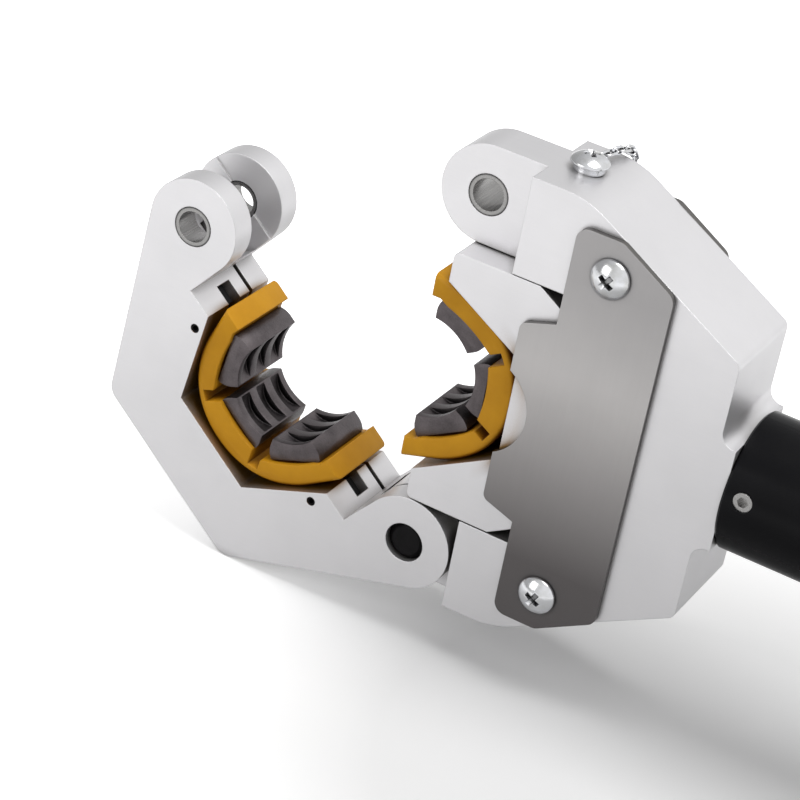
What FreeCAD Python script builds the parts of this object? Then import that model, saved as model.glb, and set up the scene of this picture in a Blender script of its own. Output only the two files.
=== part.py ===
import FreeCAD, Part
import math
import os
import re
import Sketcher

# Hand-pumped hydraulic hose crimper. Millimetres. The origin is the crimp axis, where the
# hose lies when the dies are shut: +X runs along the ram towards the handle, Y along the
# hose, and Z up in the plane of the jaw. The jaw is drawn shut and then swung open.

doc = FreeCAD.newDocument("hose_crimper")
V = FreeCAD.Vector

SIZES = [
    # yoke (head frame)
    ("head_thick", 36.0, "width of the yoke, jaw and die holder along the hose"),
    ("pin_line", 13.2, "hinge and locking bores, ahead of the crimp axis"),
    ("pin_reach", 58.5, "hinge and locking bores, from the ram axis"),
    ("ear_radius", 15.6, "round ends of the lugs and of the jaw ears"),
    ("lug_thick", 15.6, "lugs of the yoke"),
    ("shoulder_line", 29.8, "step from the lugs to the full width"),
    ("slope_start", 47.3, "where the outer edges turn towards the neck"),
    ("head_slope", 29.2, "angle of the sloping outer edges"),
    ("slope_round", 30.0, "rounding of that turn"),
    ("head_rear", 103.0, "rear face of the yoke"),
    ("rear_round", 3.0, "rounding of the rear corners"),
    ("neck_end", 108.2, "front end of the barrel"),
    ("neck_half", 17.0, "half height of the neck"),
    ("neck_round", 4.5, "fillet between rear face and neck"),
    ("throat_rear", 55.8, "rear wall between the arms"),
    ("throat_round", 3.0, "fillets in the throat corners"),
    ("spigot_radius", 17.5, "turned spigot that enters the barrel"),
    ("spigot_long", 14.0, "length of that spigot"),
    # pins and bushes
    ("lock_radius", 5.0, "locking pin"),
    ("hinge_radius", 6.5, "hinge pin"),
    ("bush_wall", 1.5, "wall of the steel bushes"),
    ("run_gap", 0.05, "radial running clearance of pins, rod and plunger"),
    ("seat_gap", 0.02, "radial clearance of a pressed or screwed seat"),
    ("pin_sunk", 1.2, "hinge pin ends below the ear faces"),
    # swing jaw
    ("slot_wide", 16.2, "clevis slots of the jaw"),
    ("slot_radius", 16.4, "round floor of those slots"),
    ("lead_in", 0.8, "relief at the mouth of the slots"),
    ("lead_line", 15.3, "where that relief starts"),
    ("jaw_back", 52.8, "back of the jaw from the crimp axis"),
    ("jaw_slope", 34.5, "angle of the jaw's sloping outer edges"),
    ("jaw_round", 6.0, "rounding of the back corners"),
    ("jaw_face", 1.8, "parting face, short of the crimp axis"),
    ("open_angle", 50.5, "how far the jaw stands open"),
    # die pocket and holder
    ("pocket_flat", 29.6, "pocket facets from the die centre"),
    ("retract", 7.9, "die holder centre behind the crimp axis"),
    ("holder_face", 2.8, "parting face of the holder behind its centre"),
    ("holder_gap", 0.4, "play between holder and arms"),
    ("side_gap", 0.15, "play between holder and guide plates"),
    ("holder_shoulder", 31.3, "start of the rear bevels from the die centre"),
    ("shoulder_slope", 31.0, "angle of the rear bevels"),
    ("holder_back", 47.6, "rear face of the holder from the die centre"),
    ("holder_round", 2.0, "rounding of the holder's front corners"),
    # die catches and roll pins
    ("catch_low", -6.0, "near side of the catch slots"),
    ("catch_high", 1.0, "far side of the catch slots"),
    ("catch_rim", 3.1, "metal from the catch slots out to the edge under the lugs"),
    ("catch_deep", 8.2, "depth of the catch slots"),
    ("catch_foot", 30.0, "inner end of the catch slots"),
    ("catch_sunk", 3.5, "catches below the parting face"),
    ("catch_gap", 0.05, "play round the catches"),
    ("groove_near", 6.4, "near side of the groove in the parting face"),
    ("groove_wide", 1.8, "width of that groove"),
    ("groove_deep", 3.0, "depth of that groove"),
    ("groove_top", 60.0, "outer end of that groove"),
    ("roll_back", 8.8, "roll pins behind the crimp axis"),
    ("roll_high", 32.6, "roll pins from the ram axis"),
    ("roll_radius", 1.5, "roll pins"),
    ("roll_wall", 0.6, "wall of the roll pins"),
    # die halves
    ("carrier_wide", 30.0, "carriers along the hose"),
    ("die_wide", 27.0, "segments along the hose"),
    ("carrier_wrap", 72.8, "angle where the carrier leaves its round back"),
    ("carrier_end", 2.9, "carrier ends beyond the die centre"),
    ("carrier_bed", 21.2, "beds of the outer segments from the die centre"),
    ("bed_rise", 1.7, "bed of the middle segment nearer the die centre"),
    ("notch_deep", 2.6, "relief notches between the beds"),
    ("notch_half", 1.5, "half width of those notches"),
    ("segment_half", 9.25, "half width of a segment at its base"),
    ("segment_cheek", 17.8, "where the cheeks start to taper"),
    ("base_bevel", 0.6, "bevel along the base edges"),
    ("work_half", 7.1, "half width of the working face"),
    ("work_depth", 14.2, "corners of the working face from the centre"),
    ("work_radius", 17.0, "radius of the working face"),
    ("work_mid", 15.7, "middle of the working face from the centre"),
    ("flute_radius", 10.8, "radius of the grooves between the ribs"),
    ("flute_mid", 18.0, "middle of those grooves from the centre"),
    ("flute_wide", 4.6, "width of those grooves"),
    ("flute_pitch", 8.6, "pitch of those grooves"),
    ("segment_shift", 2.3, "outer segments stand apart with the dies open"),
    ("stem_radius", 4.0, "stem moulded into the carrier"),
    ("stem_long", 5.0, "length of that stem"),
    # guide plates
    ("plate_thick", 2.0, "stainless guide plates"),
    ("plate_front", 47.4, "front edge over the arms"),
    ("plate_back", 80.2, "rear edge"),
    ("plate_top", 66.2, "outer ends of the plates"),
    ("plate_bend", 61.8, "where the corner bevel starts"),
    ("plate_side", 55.6, "where the corner bevel ends"),
    ("plate_round", 4.0, "rounded corners"),
    ("tab_front", 36.4, "front edge of the tab over the holder"),
    ("tab_high", 30.2, "tab corner"),
    ("tab_root", 34.0, "where the tab meets the front edge"),
    ("tab_round", 2.5, "rounded tab corners"),
    ("notch_centre", 28.4, "centre of the hose notch"),
    ("notch_radius", 16.2, "radius of the hose notch"),
    # plate screws and top screw
    ("screw_x", 60.4, "plate screws along the ram"),
    ("screw_z", 54.3, "plate screws from the ram axis"),
    ("screw_head", 6.2, "radius of the pan heads"),
    ("screw_tall", 4.0, "height of the pan heads"),
    ("screw_shank", 2.5, "radius of the shanks"),
    ("screw_deep", 12.0, "length of the shanks below the head"),
    ("cross_half", 3.3, "half length of the cross recess"),
    ("cross_wide", 1.4, "width of the cross recess"),
    ("cross_deep", 2.2, "depth of the cross recess"),
    ("top_screw_x", 39.0, "chain screw along the ram"),
    ("top_screw_head", 5.6, "radius of its head"),
    ("washer_radius", 4.8, "washers under the chain screw"),
    ("washer_thick", 0.7, "washers"),
    # barrel, ram and return spring
    ("barrel_radius", 21.6, "barrel"),
    ("barrel_end", 204.0, "rear end of the barrel"),
    ("barrel_edge", 0.8, "bevels on the barrel rims"),
    ("bore_radius", 15.0, "cylinder bore"),
    ("set_screw_x", 114.7, "set screw along the barrel"),
    ("set_screw_z", 4.2, "set screw above the axis"),
    ("set_screw_radius", 3.0, "set screw"),
    ("socket_flat", 1.5, "hex sockets, across flats halved"),
    ("rod_radius", 9.0, "ram rod"),
    ("rod_nose", 7.0, "front stud of the rod"),
    ("nose_long", 10.0, "length of that stud"),
    ("wiper_radius", 12.0, "rod wiper"),
    ("wiper_long", 4.0, "length of the wiper"),
    ("piston_room", 4.0, "oil room behind the piston, dies open"),
    ("piston_long", 14.0, "length of the piston"),
    ("tail_radius", 5.0, "threaded tail of the rod"),
    ("nut_flat", 7.5, "piston nut, across flats halved"),
    ("nut_thick", 5.0, "piston nut"),
    ("seal_deep", 2.2, "depth of the piston seal"),
    ("seal_long", 4.0, "length of the piston seal"),
    ("spring_radius", 12.2, "mean radius of the return spring"),
    ("wire_radius", 1.2, "wire of the return spring"),
    ("spring_turns", 6.0, "turns of the return spring"),
    # pump block
    ("block_long", 60.0, "pump block along the ram"),
    ("block_half", 21.0, "half width of the block"),
    ("block_top", 20.0, "top face"),
    ("block_low", -22.0, "bottom face"),
    ("block_round", 5.0, "rounded long edges"),
    ("boss_long", 10.0, "bosses into barrel and reservoir"),
    ("pivot_back", 10.0, "lever pivot behind the block's front face"),
    ("pivot_high", 38.0, "lever pivot above the axis"),
    ("pivot_round", 8.5, "round end of the pivot lug"),
    ("pivot_thick", 12.0, "pivot lug and plunger eye"),
    ("pivot_radius", 4.0, "lever pivot pin"),
    ("plunger_radius", 6.0, "pump plunger"),
    ("plunger_low", -6.0, "foot of the plunger, lever down"),
    ("plunger_base", -8.0, "bottom of the pump bore"),
    ("gland_radius", 9.5, "plunger gland"),
    ("gland_low", 12.0, "bottom of the gland"),
    ("gland_seal", 3.0, "height of the plunger seal"),
    ("oil_way", 1.5, "drilled oil ways"),
    ("valve_x", 12.0, "valves from the plunger axis"),
    ("valve_z", -8.0, "valves below the axis"),
    ("valve_radius", 5.0, "valve cartridges"),
    ("valve_long", 10.0, "depth of the valve bores"),
    ("valve_hex", 6.5, "valve heads, across flats halved"),
    ("valve_head", 4.0, "height of the valve heads"),
    ("release_x", 48.0, "release valve behind the block's front face"),
    ("release_radius", 3.0, "release valve stem"),
    ("knob_radius", 9.0, "release knob"),
    ("knob_long", 11.0, "release knob"),
    ("knob_stand", 2.5, "knob stands off the block"),
    # pump lever
    ("lever_arm", 22.0, "pivot to cross pin"),
    ("lever_swing", 17.5, "half of the lever's stroke, in degrees"),
    ("fork_wall", 5.0, "cheeks of the fork"),
    ("fork_gap", 0.4, "play beside the lug and the eye"),
    ("fork_long", 54.0, "fork from the pivot to its socket"),
    ("cross_radius", 3.0, "cross pin of the plunger"),
    ("eye_play", 0.2, "play of the cross pin in the eye"),
    ("eye_slot", 0.7, "half length of the slot in the eye"),
    ("lever_rise", 8.0, "lean of the lever tube, in degrees"),
    ("socket_long", 26.0, "socket of the fork"),
    ("lever_radius", 11.0, "lever tube"),
    ("lever_wall", 2.0, "wall of the lever tube"),
    ("lever_long", 186.0, "socket mouth of the fork to the lever's end"),
    ("lever_grip", 100.0, "length of the lever grip"),
    ("grip_wall", 3.2, "rubber of the grips"),
    # reservoir handle
    ("tank_radius", 19.0, "reservoir tube"),
    ("tank_wall", 1.5, "wall of the reservoir tube"),
    ("tank_long", 156.0, "length of the reservoir tube"),
    ("bladder_radius", 14.5, "oil bladder"),
    ("bladder_wall", 1.5, "wall of the bladder"),
    ("grip_start", 34.0, "grip behind the pump block"),
    ("grip_rib", 8.0, "pitch of the grip ribs"),
    ("cap_long", 12.0, "end cap beyond the tube"),
    ("cap_plug", 10.0, "end cap inside the tube"),
    ("filler_radius", 5.0, "filler plug"),
    # locking pin and chain
    ("link_long", 5.0, "chain links, outside length"),
    ("link_wide", 3.2, "chain links, outside width"),
    ("link_wire", 0.45, "wire radius of the links"),
    ("link_gap", 0.2, "play between links"),
    ("chain_turn", 16.8, "turn of the chain towards the handle, in degrees"),
    ("chain_lean", 11.3, "lean of the hanging chain, in degrees"),
    ("tag_thick", 0.7, "chain tag under the screw"),
    ("tag_wide", 4.4, "width of the tag"),
    ("tag_reach", 6.5, "screw to the chain hole of the tag"),
    ("tag_hole", 1.4, "chain hole of the tag"),
    ("pin_knob", 6.0, "head of the locking pin"),
    ("pin_head", 10.0, "height of that head"),
    ("eye_rise", 2.6, "eye of the locking pin above its head"),
    ("eye_round", 2.7, "round end of the eye"),
    ("eye_hole", 1.4, "hole of the eye"),
    ("eye_thick", 1.0, "thickness of the eye"),
]

sheet = doc.addObject("Spreadsheet::Sheet", "Size")
for row, (name, number, note) in enumerate(SIZES, 1):
    sheet.set(f"A{row}", name)
    sheet.set(f"B{row}", str(number))
    sheet.setAlias(f"B{row}", name)
    sheet.set(f"C{row}", note)
doc.recompute()

WORDS = {name for name, number, note in SIZES}
XZ, XY, YZ = "XZ_Plane", "XY_Plane", "YZ_Plane"
TAN30 = "tan(30 deg)"
nodes = []
cuts = []


# an expression in the words of the sheet, as FreeCAD reads it from any object
def link(text):
    return re.sub(r"[a-z][a-z0-9_]*", lambda m: "Size." + m[0] if m[0] in WORDS else m[0], text)


def value(text):
    return float(sheet.evalExpression(link(text)))


def new_body(label, keep=True):
    item = doc.addObject("PartDesign::Body", label)
    item.Label = label
    if keep:
        nodes.append(item)
    return item


# a sketch on one of the body's planes; an outline is a list of corners or a circle
def sketch(owner, plane, outlines, offset="0", axis=None):
    item = owner.newObject("Sketcher::SketchObject", owner.Name + "_sketch")
    item.AttachmentSupport = [(next(f for f in owner.Origin.OriginFeatures if f.Role == plane), "")]
    item.MapMode = "FlatFace"
    item.setExpression("AttachmentOffset.Base.z", link(offset))
    rules, sizes = [], []

    def pin_down(kind, text, *target):
        rules.append(Sketcher.Constraint(kind, *target, value(text)))
        sizes.append((len(rules) - 1, text))

    def place(shape, point, x, y):
        pin_down("DistanceX", x, -1, 1, shape, point)
        pin_down("DistanceY", y, -1, 1, shape, point)

    for outline in outlines:
        if isinstance(outline, tuple):
            x, y, radius = outline
            circle = Part.Circle(V(value(x), value(y), 0), V(0, 0, 1), value(radius))
            shape = item.addGeometry(circle)
            place(shape, 3, x, y)
            pin_down("Radius", radius, shape)
            continue
        corners = [V(value(x), value(y), 0) for x, y in outline]
        turned = corners[1:] + corners[:1]
        first = item.addGeometry([Part.LineSegment(a, b) for a, b in zip(corners, turned)])[0]
        for step, (x, y) in enumerate(outline):
            place(first + step, 1, x, y)
            rules.append(Sketcher.Constraint("Coincident", first + step, 2,
                                             first + (step + 1) % len(outline), 1))
    if axis:
        ends = [V(value(x), value(y), 0) for x, y in axis]
        shape = item.addGeometry(Part.LineSegment(*ends), True)
        place(shape, 1, *axis[0])
        place(shape, 2, *axis[1])
    item.addConstraint(rules)
    for index, text in sizes:
        if not re.fullmatch(r"-?[0-9.]+", text):
            item.setExpression(f"Constraints[{index}]", link(text))
    return item


def feature(owner, kind, profile, cut):
    item = owner.newObject("PartDesign::" + kind, owner.Name + "_" + kind.lower())
    item.Profile = profile
    if cut:
        cuts.append((owner, item))
    return item


# a plate or a pocket: between two planes where a start is given, else centred
def plate(owner, plane, outlines, long, start=None, cut=False):
    flip = -1 if plane == XZ else 1
    offset = "0" if start is None else f"{flip} * ({start})"
    item = feature(owner, "Pocket" if cut else "Pad", sketch(owner, plane, outlines, offset), cut)
    item.setExpression("Length", link(long))
    if start is None:
        item.SideType = "Symmetric"
    else:
        item.Reversed = (plane == XZ) != cut
    return item


# a turned piece or groove about a line through a point: the profile is (along, radius)
def turn(owner, profile, x="0", y="0", z="0", lean="0", cut=False, across=False):
    if across:
        corners = [(a, f"({z}) + {r}") for a, r in profile]
        axis, plane, offset = [("-400", z), ("400", z)], YZ, x
    else:
        c, s = f"cos(({lean}) * 1 deg)", f"sin(({lean}) * 1 deg)"
        corners = [(f"({x}) + ({a}) * {c} - ({r}) * {s}", f"({z}) + ({a}) * {s} + ({r}) * {c}")
                   for a, r in profile]
        axis = [(f"({x}) - 20 * {c}", f"({z}) - 20 * {s}"), (f"({x}) + 20 * {c}", f"({z}) + 20 * {s}")]
        plane, offset = XZ, f"-({y})"
    flat = sketch(owner, plane, [corners], offset, axis)
    item = feature(owner, "Groove" if cut else "Revolution", flat, cut)
    item.ReferenceAxis = (flat, ["Axis0"])
    item.Angle = 360
    return item


# solid of revolution from pairs of (along, radius), closed down to the axis
def rod(owner, steps, **where):
    return turn(owner, [(steps[0][0], "0")] + steps + [(steps[-1][0], "0")], **where)


def ring(owner, low, high, inner, outer, **where):
    return turn(owner, [(low, inner), (low, outer), (high, outer), (high, inner)], **where)


# fillet the edges along Y that stand at the given places
def round_edges(owner, places, radius):
    doc.recompute()
    spots = [V(value(x), 0, value(z)) for x, z in places]
    names = []
    for number, edge in enumerate(owner.Tip.Shape.Edges, 1):
        ends = [v.Point for v in edge.Vertexes]
        if len(ends) == 2 and abs(ends[0].x - ends[1].x) + abs(ends[0].z - ends[1].z) < 1e-4:
            middle = V(ends[0].x, 0, ends[0].z)
            if any((middle - spot).Length < 0.01 for spot in spots):
                names.append(f"Edge{number}")
    item = owner.newObject("PartDesign::Fillet", owner.Name + "_fillet")
    item.Base = (owner.Tip if owner.Tip != item else item.BaseFeature, names)
    item.setExpression("Radius", link(radius))
    return item


def group(label, members):
    item = doc.addObject("Part::Compound", label)
    item.Label = label
    item.Links = members
    nodes.append(item)
    return item


def mirrored(points):
    return points + [(x, f"-({z})") for x, z in reversed(points)]


# corners of a hexagon round a point, by its half width across flats
def hexagon(x, y, flat):
    return [(f"({x}) + {flat} / cos(30 deg) * cos({60 * i} deg)",
             f"({y}) + {flat} / cos(30 deg) * sin({60 * i} deg)") for i in range(6)]


# YOKE
ARM_IN = "(pin_reach - ear_radius)"
ARM_OUT = "(pin_reach + ear_radius)"
CATCH_TOP = f"({ARM_IN} - catch_rim)"
REAR_HALF = f"({ARM_OUT} - (head_rear - slope_start) * tan(head_slope * 1 deg))"
HALF = "head_thick / 2"
SPIGOT_END = "(neck_end + spigot_long)"
TOP_FACE = ARM_OUT
TAG_Z = f"({TOP_FACE} + 2 * washer_thick)"
SCREW_SEAT = f"({TAG_Z} + tag_thick)"


def make_head_frame():
    frame = new_body("head_frame")
    outer = [("throat_rear", ARM_IN), ("shoulder_line", ARM_IN), ("shoulder_line", ARM_OUT),
             ("slope_start", ARM_OUT), ("head_rear", REAR_HALF), ("head_rear", "neck_half"),
             ("neck_end", "neck_half")]
    plate(frame, XZ, [mirrored(outer)], "head_thick")
    for up in ("", "-"):
        lug = [("pin_line", f"{up}{ARM_IN}"), ("shoulder_line + 1", f"{up}{ARM_IN}"),
               ("shoulder_line + 1", f"{up}{ARM_OUT}"), ("pin_line", f"{up}{ARM_OUT}")]
        plate(frame, XZ, [lug], "lug_thick")
        plate(frame, XZ, [("pin_line", f"{up}pin_reach", "ear_radius")], "lug_thick")
    round_edges(frame, [("slope_start", ARM_OUT), ("slope_start", f"-{ARM_OUT}")], "slope_round")
    round_edges(frame, [("head_rear", REAR_HALF), ("head_rear", f"-{REAR_HALF}")], "rear_round")
    round_edges(frame, [("head_rear", "neck_half"), ("head_rear", "-neck_half")], "neck_round")
    round_edges(frame, [("throat_rear", ARM_IN), ("throat_rear", f"-{ARM_IN}")], "throat_round")
    rod(frame, [("neck_end - 1", "spigot_radius"), (SPIGOT_END, "spigot_radius")])
    plate(frame, XZ, [("pin_line", "pin_reach", "lock_radius + run_gap + bush_wall + seat_gap"),
                      ("pin_line", "-pin_reach", "hinge_radius + run_gap + bush_wall + seat_gap")],
          "head_thick", cut=True)
    rod(frame, [("throat_rear - 1", "rod_radius + run_gap"),
                (f"{SPIGOT_END} + 1", "rod_radius + run_gap")], cut=True)
    rod(frame, [("throat_rear - 1", "wiper_radius + seat_gap"),
                ("throat_rear + 0.4 + wiper_long", "wiper_radius + seat_gap")], cut=True)
    screw_hole = "screw_shank + seat_gap"
    for side in ("-", ""):
        start = f"-{HALF}" if side else f"{HALF} - screw_deep"
        holes = [("screw_x", f"{up}screw_z", screw_hole) for up in ("", "-")]
        plate(frame, XZ, holes, "screw_deep", start=start, cut=True)
    plate(frame, XY, [("top_screw_x", "0", screw_hole)], "screw_deep + 1",
          start=f"{TOP_FACE} - screw_deep", cut=True)


# JAW AND DIE HOLDER
# x is measured from a die centre, away from the crimp axis: side is -1 on the jaw
def facet_height(x):
    return f"(2 * pocket_flat / sqrt(3) - ({x}) * {TAN30})"


class Half:
    def __init__(self, name, side, centre, face, thick):
        self.name, self.side, self.centre, self.face, self.thick = name, side, centre, face, thick

    def x(self, distance):
        return f"({self.centre}) + {self.side} * ({distance})"

    # a point given by its distance out from the centre and along a facet, at an angle
    def spun(self, out, along, angle):
        c, s = f"cos({angle} deg)", f"sin({angle} deg)"
        return (self.x(f"({out}) * {c} - ({along}) * {s}"), f"({out}) * {s} + ({along}) * {c}")

    # between two distances from the die centre, as a start and a length along X
    def reach(self, near, far):
        start = self.x(near) if self.side > 0 else self.x(far)
        return start, f"({far}) - ({near})"

    # swing a jaw piece open about the hinge pin
    def seat(self, item):
        if self.side > 0:
            return
        item.Placement = FreeCAD.Placement(V(), FreeCAD.Rotation(V(0, 1, 0), -value("open_angle")))
        c, s = "cos(open_angle * 1 deg)", "sin(open_angle * 1 deg)"
        item.setExpression("Placement.Rotation.Angle", link("-open_angle * 1 deg"))
        item.setExpression("Placement.Base.x", link(f"pin_line * (1 - {c}) - pin_reach * {s}"))
        item.setExpression("Placement.Base.z", link(f"-pin_reach * (1 - {c}) - pin_line * {s}"))

    def body(self, label, keep=True):
        item = new_body(label, keep)
        self.seat(item)
        return item


jaw = Half("jaw", -1, "0", "jaw_face", "head_thick")
holder = Half("holder", 1, "retract", "holder_face", "(head_thick - 2 * side_gap)")


# parting-face details shared by the jaw and the holder
def cut_parting_face(half, owner):
    for deep, near, far, top in (("catch_deep", "catch_low", "catch_high", CATCH_TOP),
                                 ("groove_deep", "groove_near", "groove_near + groove_wide", "groove_top")):
        start, long = half.reach(f"{half.face} - 1", f"{half.face} + {deep}")
        slots = [[(near, f"{up}catch_foot"), (far, f"{up}catch_foot"), (far, f"{up}{top}"),
                  (near, f"{up}{top}")] for up in ("", "-")]
        plate(owner, YZ, slots, long, start=start, cut=True)


def make_swing_jaw():
    body = jaw.body("swing_jaw")
    tilt = "jaw_slope * 1 deg"
    corner = f"(pin_reach - (jaw_back + pin_line) * tan({tilt}) + ear_radius / cos({tilt}))"
    upper = [(f"pin_line - ear_radius * sin({tilt})", f"pin_reach + ear_radius * cos({tilt})"),
             ("-jaw_back", corner)]
    inner = [("-pocket_flat", f"pocket_flat * {TAN30}"), ("-jaw_face", facet_height("jaw_face")),
             ("-jaw_face", ARM_IN), ("pin_line", ARM_IN), ("pin_line", "pin_reach")]
    outline = mirrored(upper) + [(x, f"-({z})") for x, z in reversed(inner)] + inner
    plate(body, XZ, [outline], "head_thick")
    for up in ("", "-"):
        plate(body, XZ, [("pin_line", f"{up}pin_reach", "ear_radius")], "head_thick")
    round_edges(body, [("-jaw_back", corner), ("-jaw_back", f"-{corner}")], "jaw_round")
    ears = [("pin_line", f"{up}pin_reach", "slot_radius") for up in ("", "-")]
    plate(body, XZ, ears, "slot_wide", cut=True)
    low, high, far = "pin_reach - 2 * ear_radius", "pin_reach + 2 * ear_radius", "lead_line + ear_radius"
    for up in ("", "-"):
        lead = [("lead_line", f"{up}({low})"), (far, f"{up}({low})"), (far, f"{up}({high})"),
                ("lead_line", f"{up}({high})")]
        plate(body, XZ, [lead], "slot_wide + 2 * lead_in", cut=True)
    bores = [("pin_line", "pin_reach", "lock_radius + run_gap + bush_wall + seat_gap"),
             ("pin_line", "-pin_reach", "hinge_radius + seat_gap")]
    plate(body, XZ, bores, "2 * head_thick", cut=True)
    cut_parting_face(jaw, body)
    holes = [(jaw.x("roll_back"), f"{up}roll_high", "roll_radius + seat_gap") for up in ("", "-")]
    plate(body, XZ, holes, "2 * head_thick", cut=True)


def make_die_holder():
    body = holder.body("die_holder")
    top = f"({ARM_IN} - holder_gap)"
    low = f"({top} - (holder_back - holder_shoulder) * tan(shoulder_slope * 1 deg))"
    outer = [(holder.x("pocket_flat"), f"pocket_flat * {TAN30}"),
             (holder.x("holder_face"), facet_height("holder_face")),
             (holder.x("holder_face"), top), (holder.x("holder_shoulder"), top),
             (holder.x("holder_back"), low)]
    plate(body, XZ, [mirrored(outer)], holder.thick)
    corners = [(holder.x("holder_face"), top), (holder.x("holder_face"), f"-{top}")]
    round_edges(body, corners, "holder_round")
    rod(body, [(holder.x("holder_back - nose_long"), "rod_nose + seat_gap"),
               (holder.x("holder_back + 1"), "rod_nose + seat_gap")], cut=True)
    cut_parting_face(holder, body)


def make_catches(half):
    pins, catches = [], []
    for tag, up in (("upper", ""), ("lower", "-")):
        catch = half.body(f"{half.name}_catch_{tag}", keep=False)
        start, long = half.reach(f"{half.face} + catch_sunk", f"{half.face} + catch_deep - 0.1")
        low, high = "catch_low + catch_gap", "catch_high - catch_gap"
        base, top = f"{up}({facet_height(half.face)} + 0.3)", f"{up}({CATCH_TOP} - catch_gap)"
        plate(catch, YZ, [[(low, base), (high, base), (high, top), (low, top)]], long, start=start)
        catches.append(catch)
        if half is jaw:
            pin = half.body(f"{half.name}_roll_pin_{tag}", keep=False)
            place = (half.x("roll_back"), f"{up}roll_high")
            plate(pin, XZ, [place + ("roll_radius",), place + ("roll_radius - roll_wall",)],
                  f"{half.thick} - 0.6")
            plate(catch, XZ, [place + ("roll_radius + catch_gap",)], "head_thick", cut=True)
            pins.append(pin)
    group(f"{half.name}_die_catches", catches)
    if pins:
        group(f"{half.name}_roll_pins", pins)


# DIE HALVES
MID_BED = "(carrier_bed - bed_rise)"
SEGMENTS = (("middle", 0, "0", MID_BED), ("upper", 60, "segment_shift", "carrier_bed"),
            ("lower", -60, "-segment_shift", "carrier_bed"))


def make_carrier(half):
    body = half.body(f"{half.name}_die_carrier")
    wrap = "carrier_wrap * 1 deg"
    touch = (f"pocket_flat * cos({wrap})", f"pocket_flat * sin({wrap})")
    run = f"((pocket_flat * cos({wrap}) + carrier_end) / sin({wrap}))"
    tip = ("-carrier_end", f"pocket_flat * sin({wrap}) + {run} * cos({wrap})")
    plate(body, XZ, [(half.x("0"), "0", "pocket_flat")], "carrier_wide")
    shoulders = mirrored([(half.x(touch[0]), touch[1]), (half.x(tip[0]), tip[1])])
    plate(body, XZ, [shoulders], "carrier_wide")
    beyond = mirrored([(half.x("-carrier_end"), "2 * pocket_flat"),
                       (half.x("-2 * pocket_flat"), "2 * pocket_flat")])
    plate(body, XZ, [beyond], "2 * carrier_wide", cut=True)
    corner = f"((carrier_bed - {MID_BED} * cos(60 deg)) / sin(60 deg))"
    bed = mirrored([(half.x(MID_BED), corner), (half.x("0"), "carrier_bed / sin(60 deg)"),
                    (half.x("-2 * carrier_end"), "carrier_bed / sin(60 deg)")])
    plate(body, XZ, [bed], "2 * carrier_wide", cut=True)
    low, high = "carrier_bed", "carrier_bed / cos(30 deg) + notch_deep"
    for angle in (30, -30):
        notch = [half.spun(low, "-notch_half", angle), half.spun(low, "notch_half", angle),
                 half.spun(high, "notch_half", angle), half.spun(high, "-notch_half", angle)]
        plate(body, XZ, [notch], "2 * carrier_wide", cut=True)
    for tag, angle, shift, base in SEGMENTS:
        stem(half, body, angle, shift, base, "stem_radius + run_gap", "stem_long + run_gap", cut=True)


def stem(half, body, angle, shift, base, radius, long, cut=False):
    low, high = f"{base} - 0.5", f"{base} + {long}"
    corners = [(low, shift), (low, f"{shift} + {radius}"), (high, f"{shift} + {radius}"), (high, shift)]
    axis = [half.spun("0", shift, angle), half.spun("carrier_bed", shift, angle)]
    flat = sketch(body, XZ, [[half.spun(out, along, angle) for out, along in corners]], "0", axis)
    item = feature(body, "Groove" if cut else "Revolution", flat, cut)
    item.ReferenceAxis = (flat, ["Axis0"])
    item.Angle = 360


def make_segment(half, tag, angle, shift, base):
    body = half.body(f"{half.name}_{tag}_segment")
    side = [("work_depth", "work_half"), ("segment_cheek", "segment_half"),
            (f"{base} - base_bevel", "segment_half"), (base, "segment_half - base_bevel")]
    outline = [half.spun(out, f"{shift} + {along}", angle) for out, along in side]
    outline += [half.spun(out, f"{shift} - ({along})", angle) for out, along in reversed(side)]
    plate(body, XZ, [outline], "die_wide")
    centre = half.spun("work_mid - work_radius", shift, angle)
    plate(body, XZ, [centre + ("work_radius",)], "2 * die_wide", cut=True)
    centre = half.spun("flute_mid - flute_radius", shift, angle)
    for step in (-1, 0, 1):
        plate(body, XZ, [centre + ("flute_radius",)], "flute_wide",
              start=f"{step} * flute_pitch - flute_wide / 2", cut=True)
    stem(half, body, angle, shift, base, "stem_radius", "stem_long")


# PINS, BUSHES AND SCREWS
def make_pins_and_bushes():
    lock_hole, hinge_hole = "lock_radius + run_gap", "hinge_radius + run_gap"
    ring(new_body("upper_lug_bush"), "-lug_thick / 2", "lug_thick / 2", lock_hole,
         f"{lock_hole} + bush_wall", x="pin_line", z="pin_reach", across=True)
    ring(new_body("lower_lug_bush"), "-lug_thick / 2", "lug_thick / 2", hinge_hole,
         f"{hinge_hole} + bush_wall", x="pin_line", z="-pin_reach", across=True)
    bushes = []
    inside = "slot_wide / 2 + lead_in"
    for tag, low, high in (("near", f"-{HALF}", f"-({inside})"), ("far", inside, HALF)):
        bush = jaw.body(f"ear_bush_{tag}", keep=False)
        ring(bush, low, high, lock_hole, f"{lock_hole} + bush_wall", x="pin_line", z="pin_reach", across=True)
        bushes.append(bush)
    group("jaw_ear_bushes", bushes)
    end = f"({HALF} - pin_sunk)"
    nose = "0.72 * hinge_radius"
    steps = [(f"-{end}", nose), (f"-{end} + 0.8", "hinge_radius - 0.8"), (f"-{end} + 1.4", "hinge_radius"),
             (f"{end} - 1.4", "hinge_radius"), (f"{end} - 0.8", "hinge_radius - 0.8"), (end, nose)]
    rod(jaw.body("hinge_pin"), steps, x="pin_line", z="-pin_reach", across=True)


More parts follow.
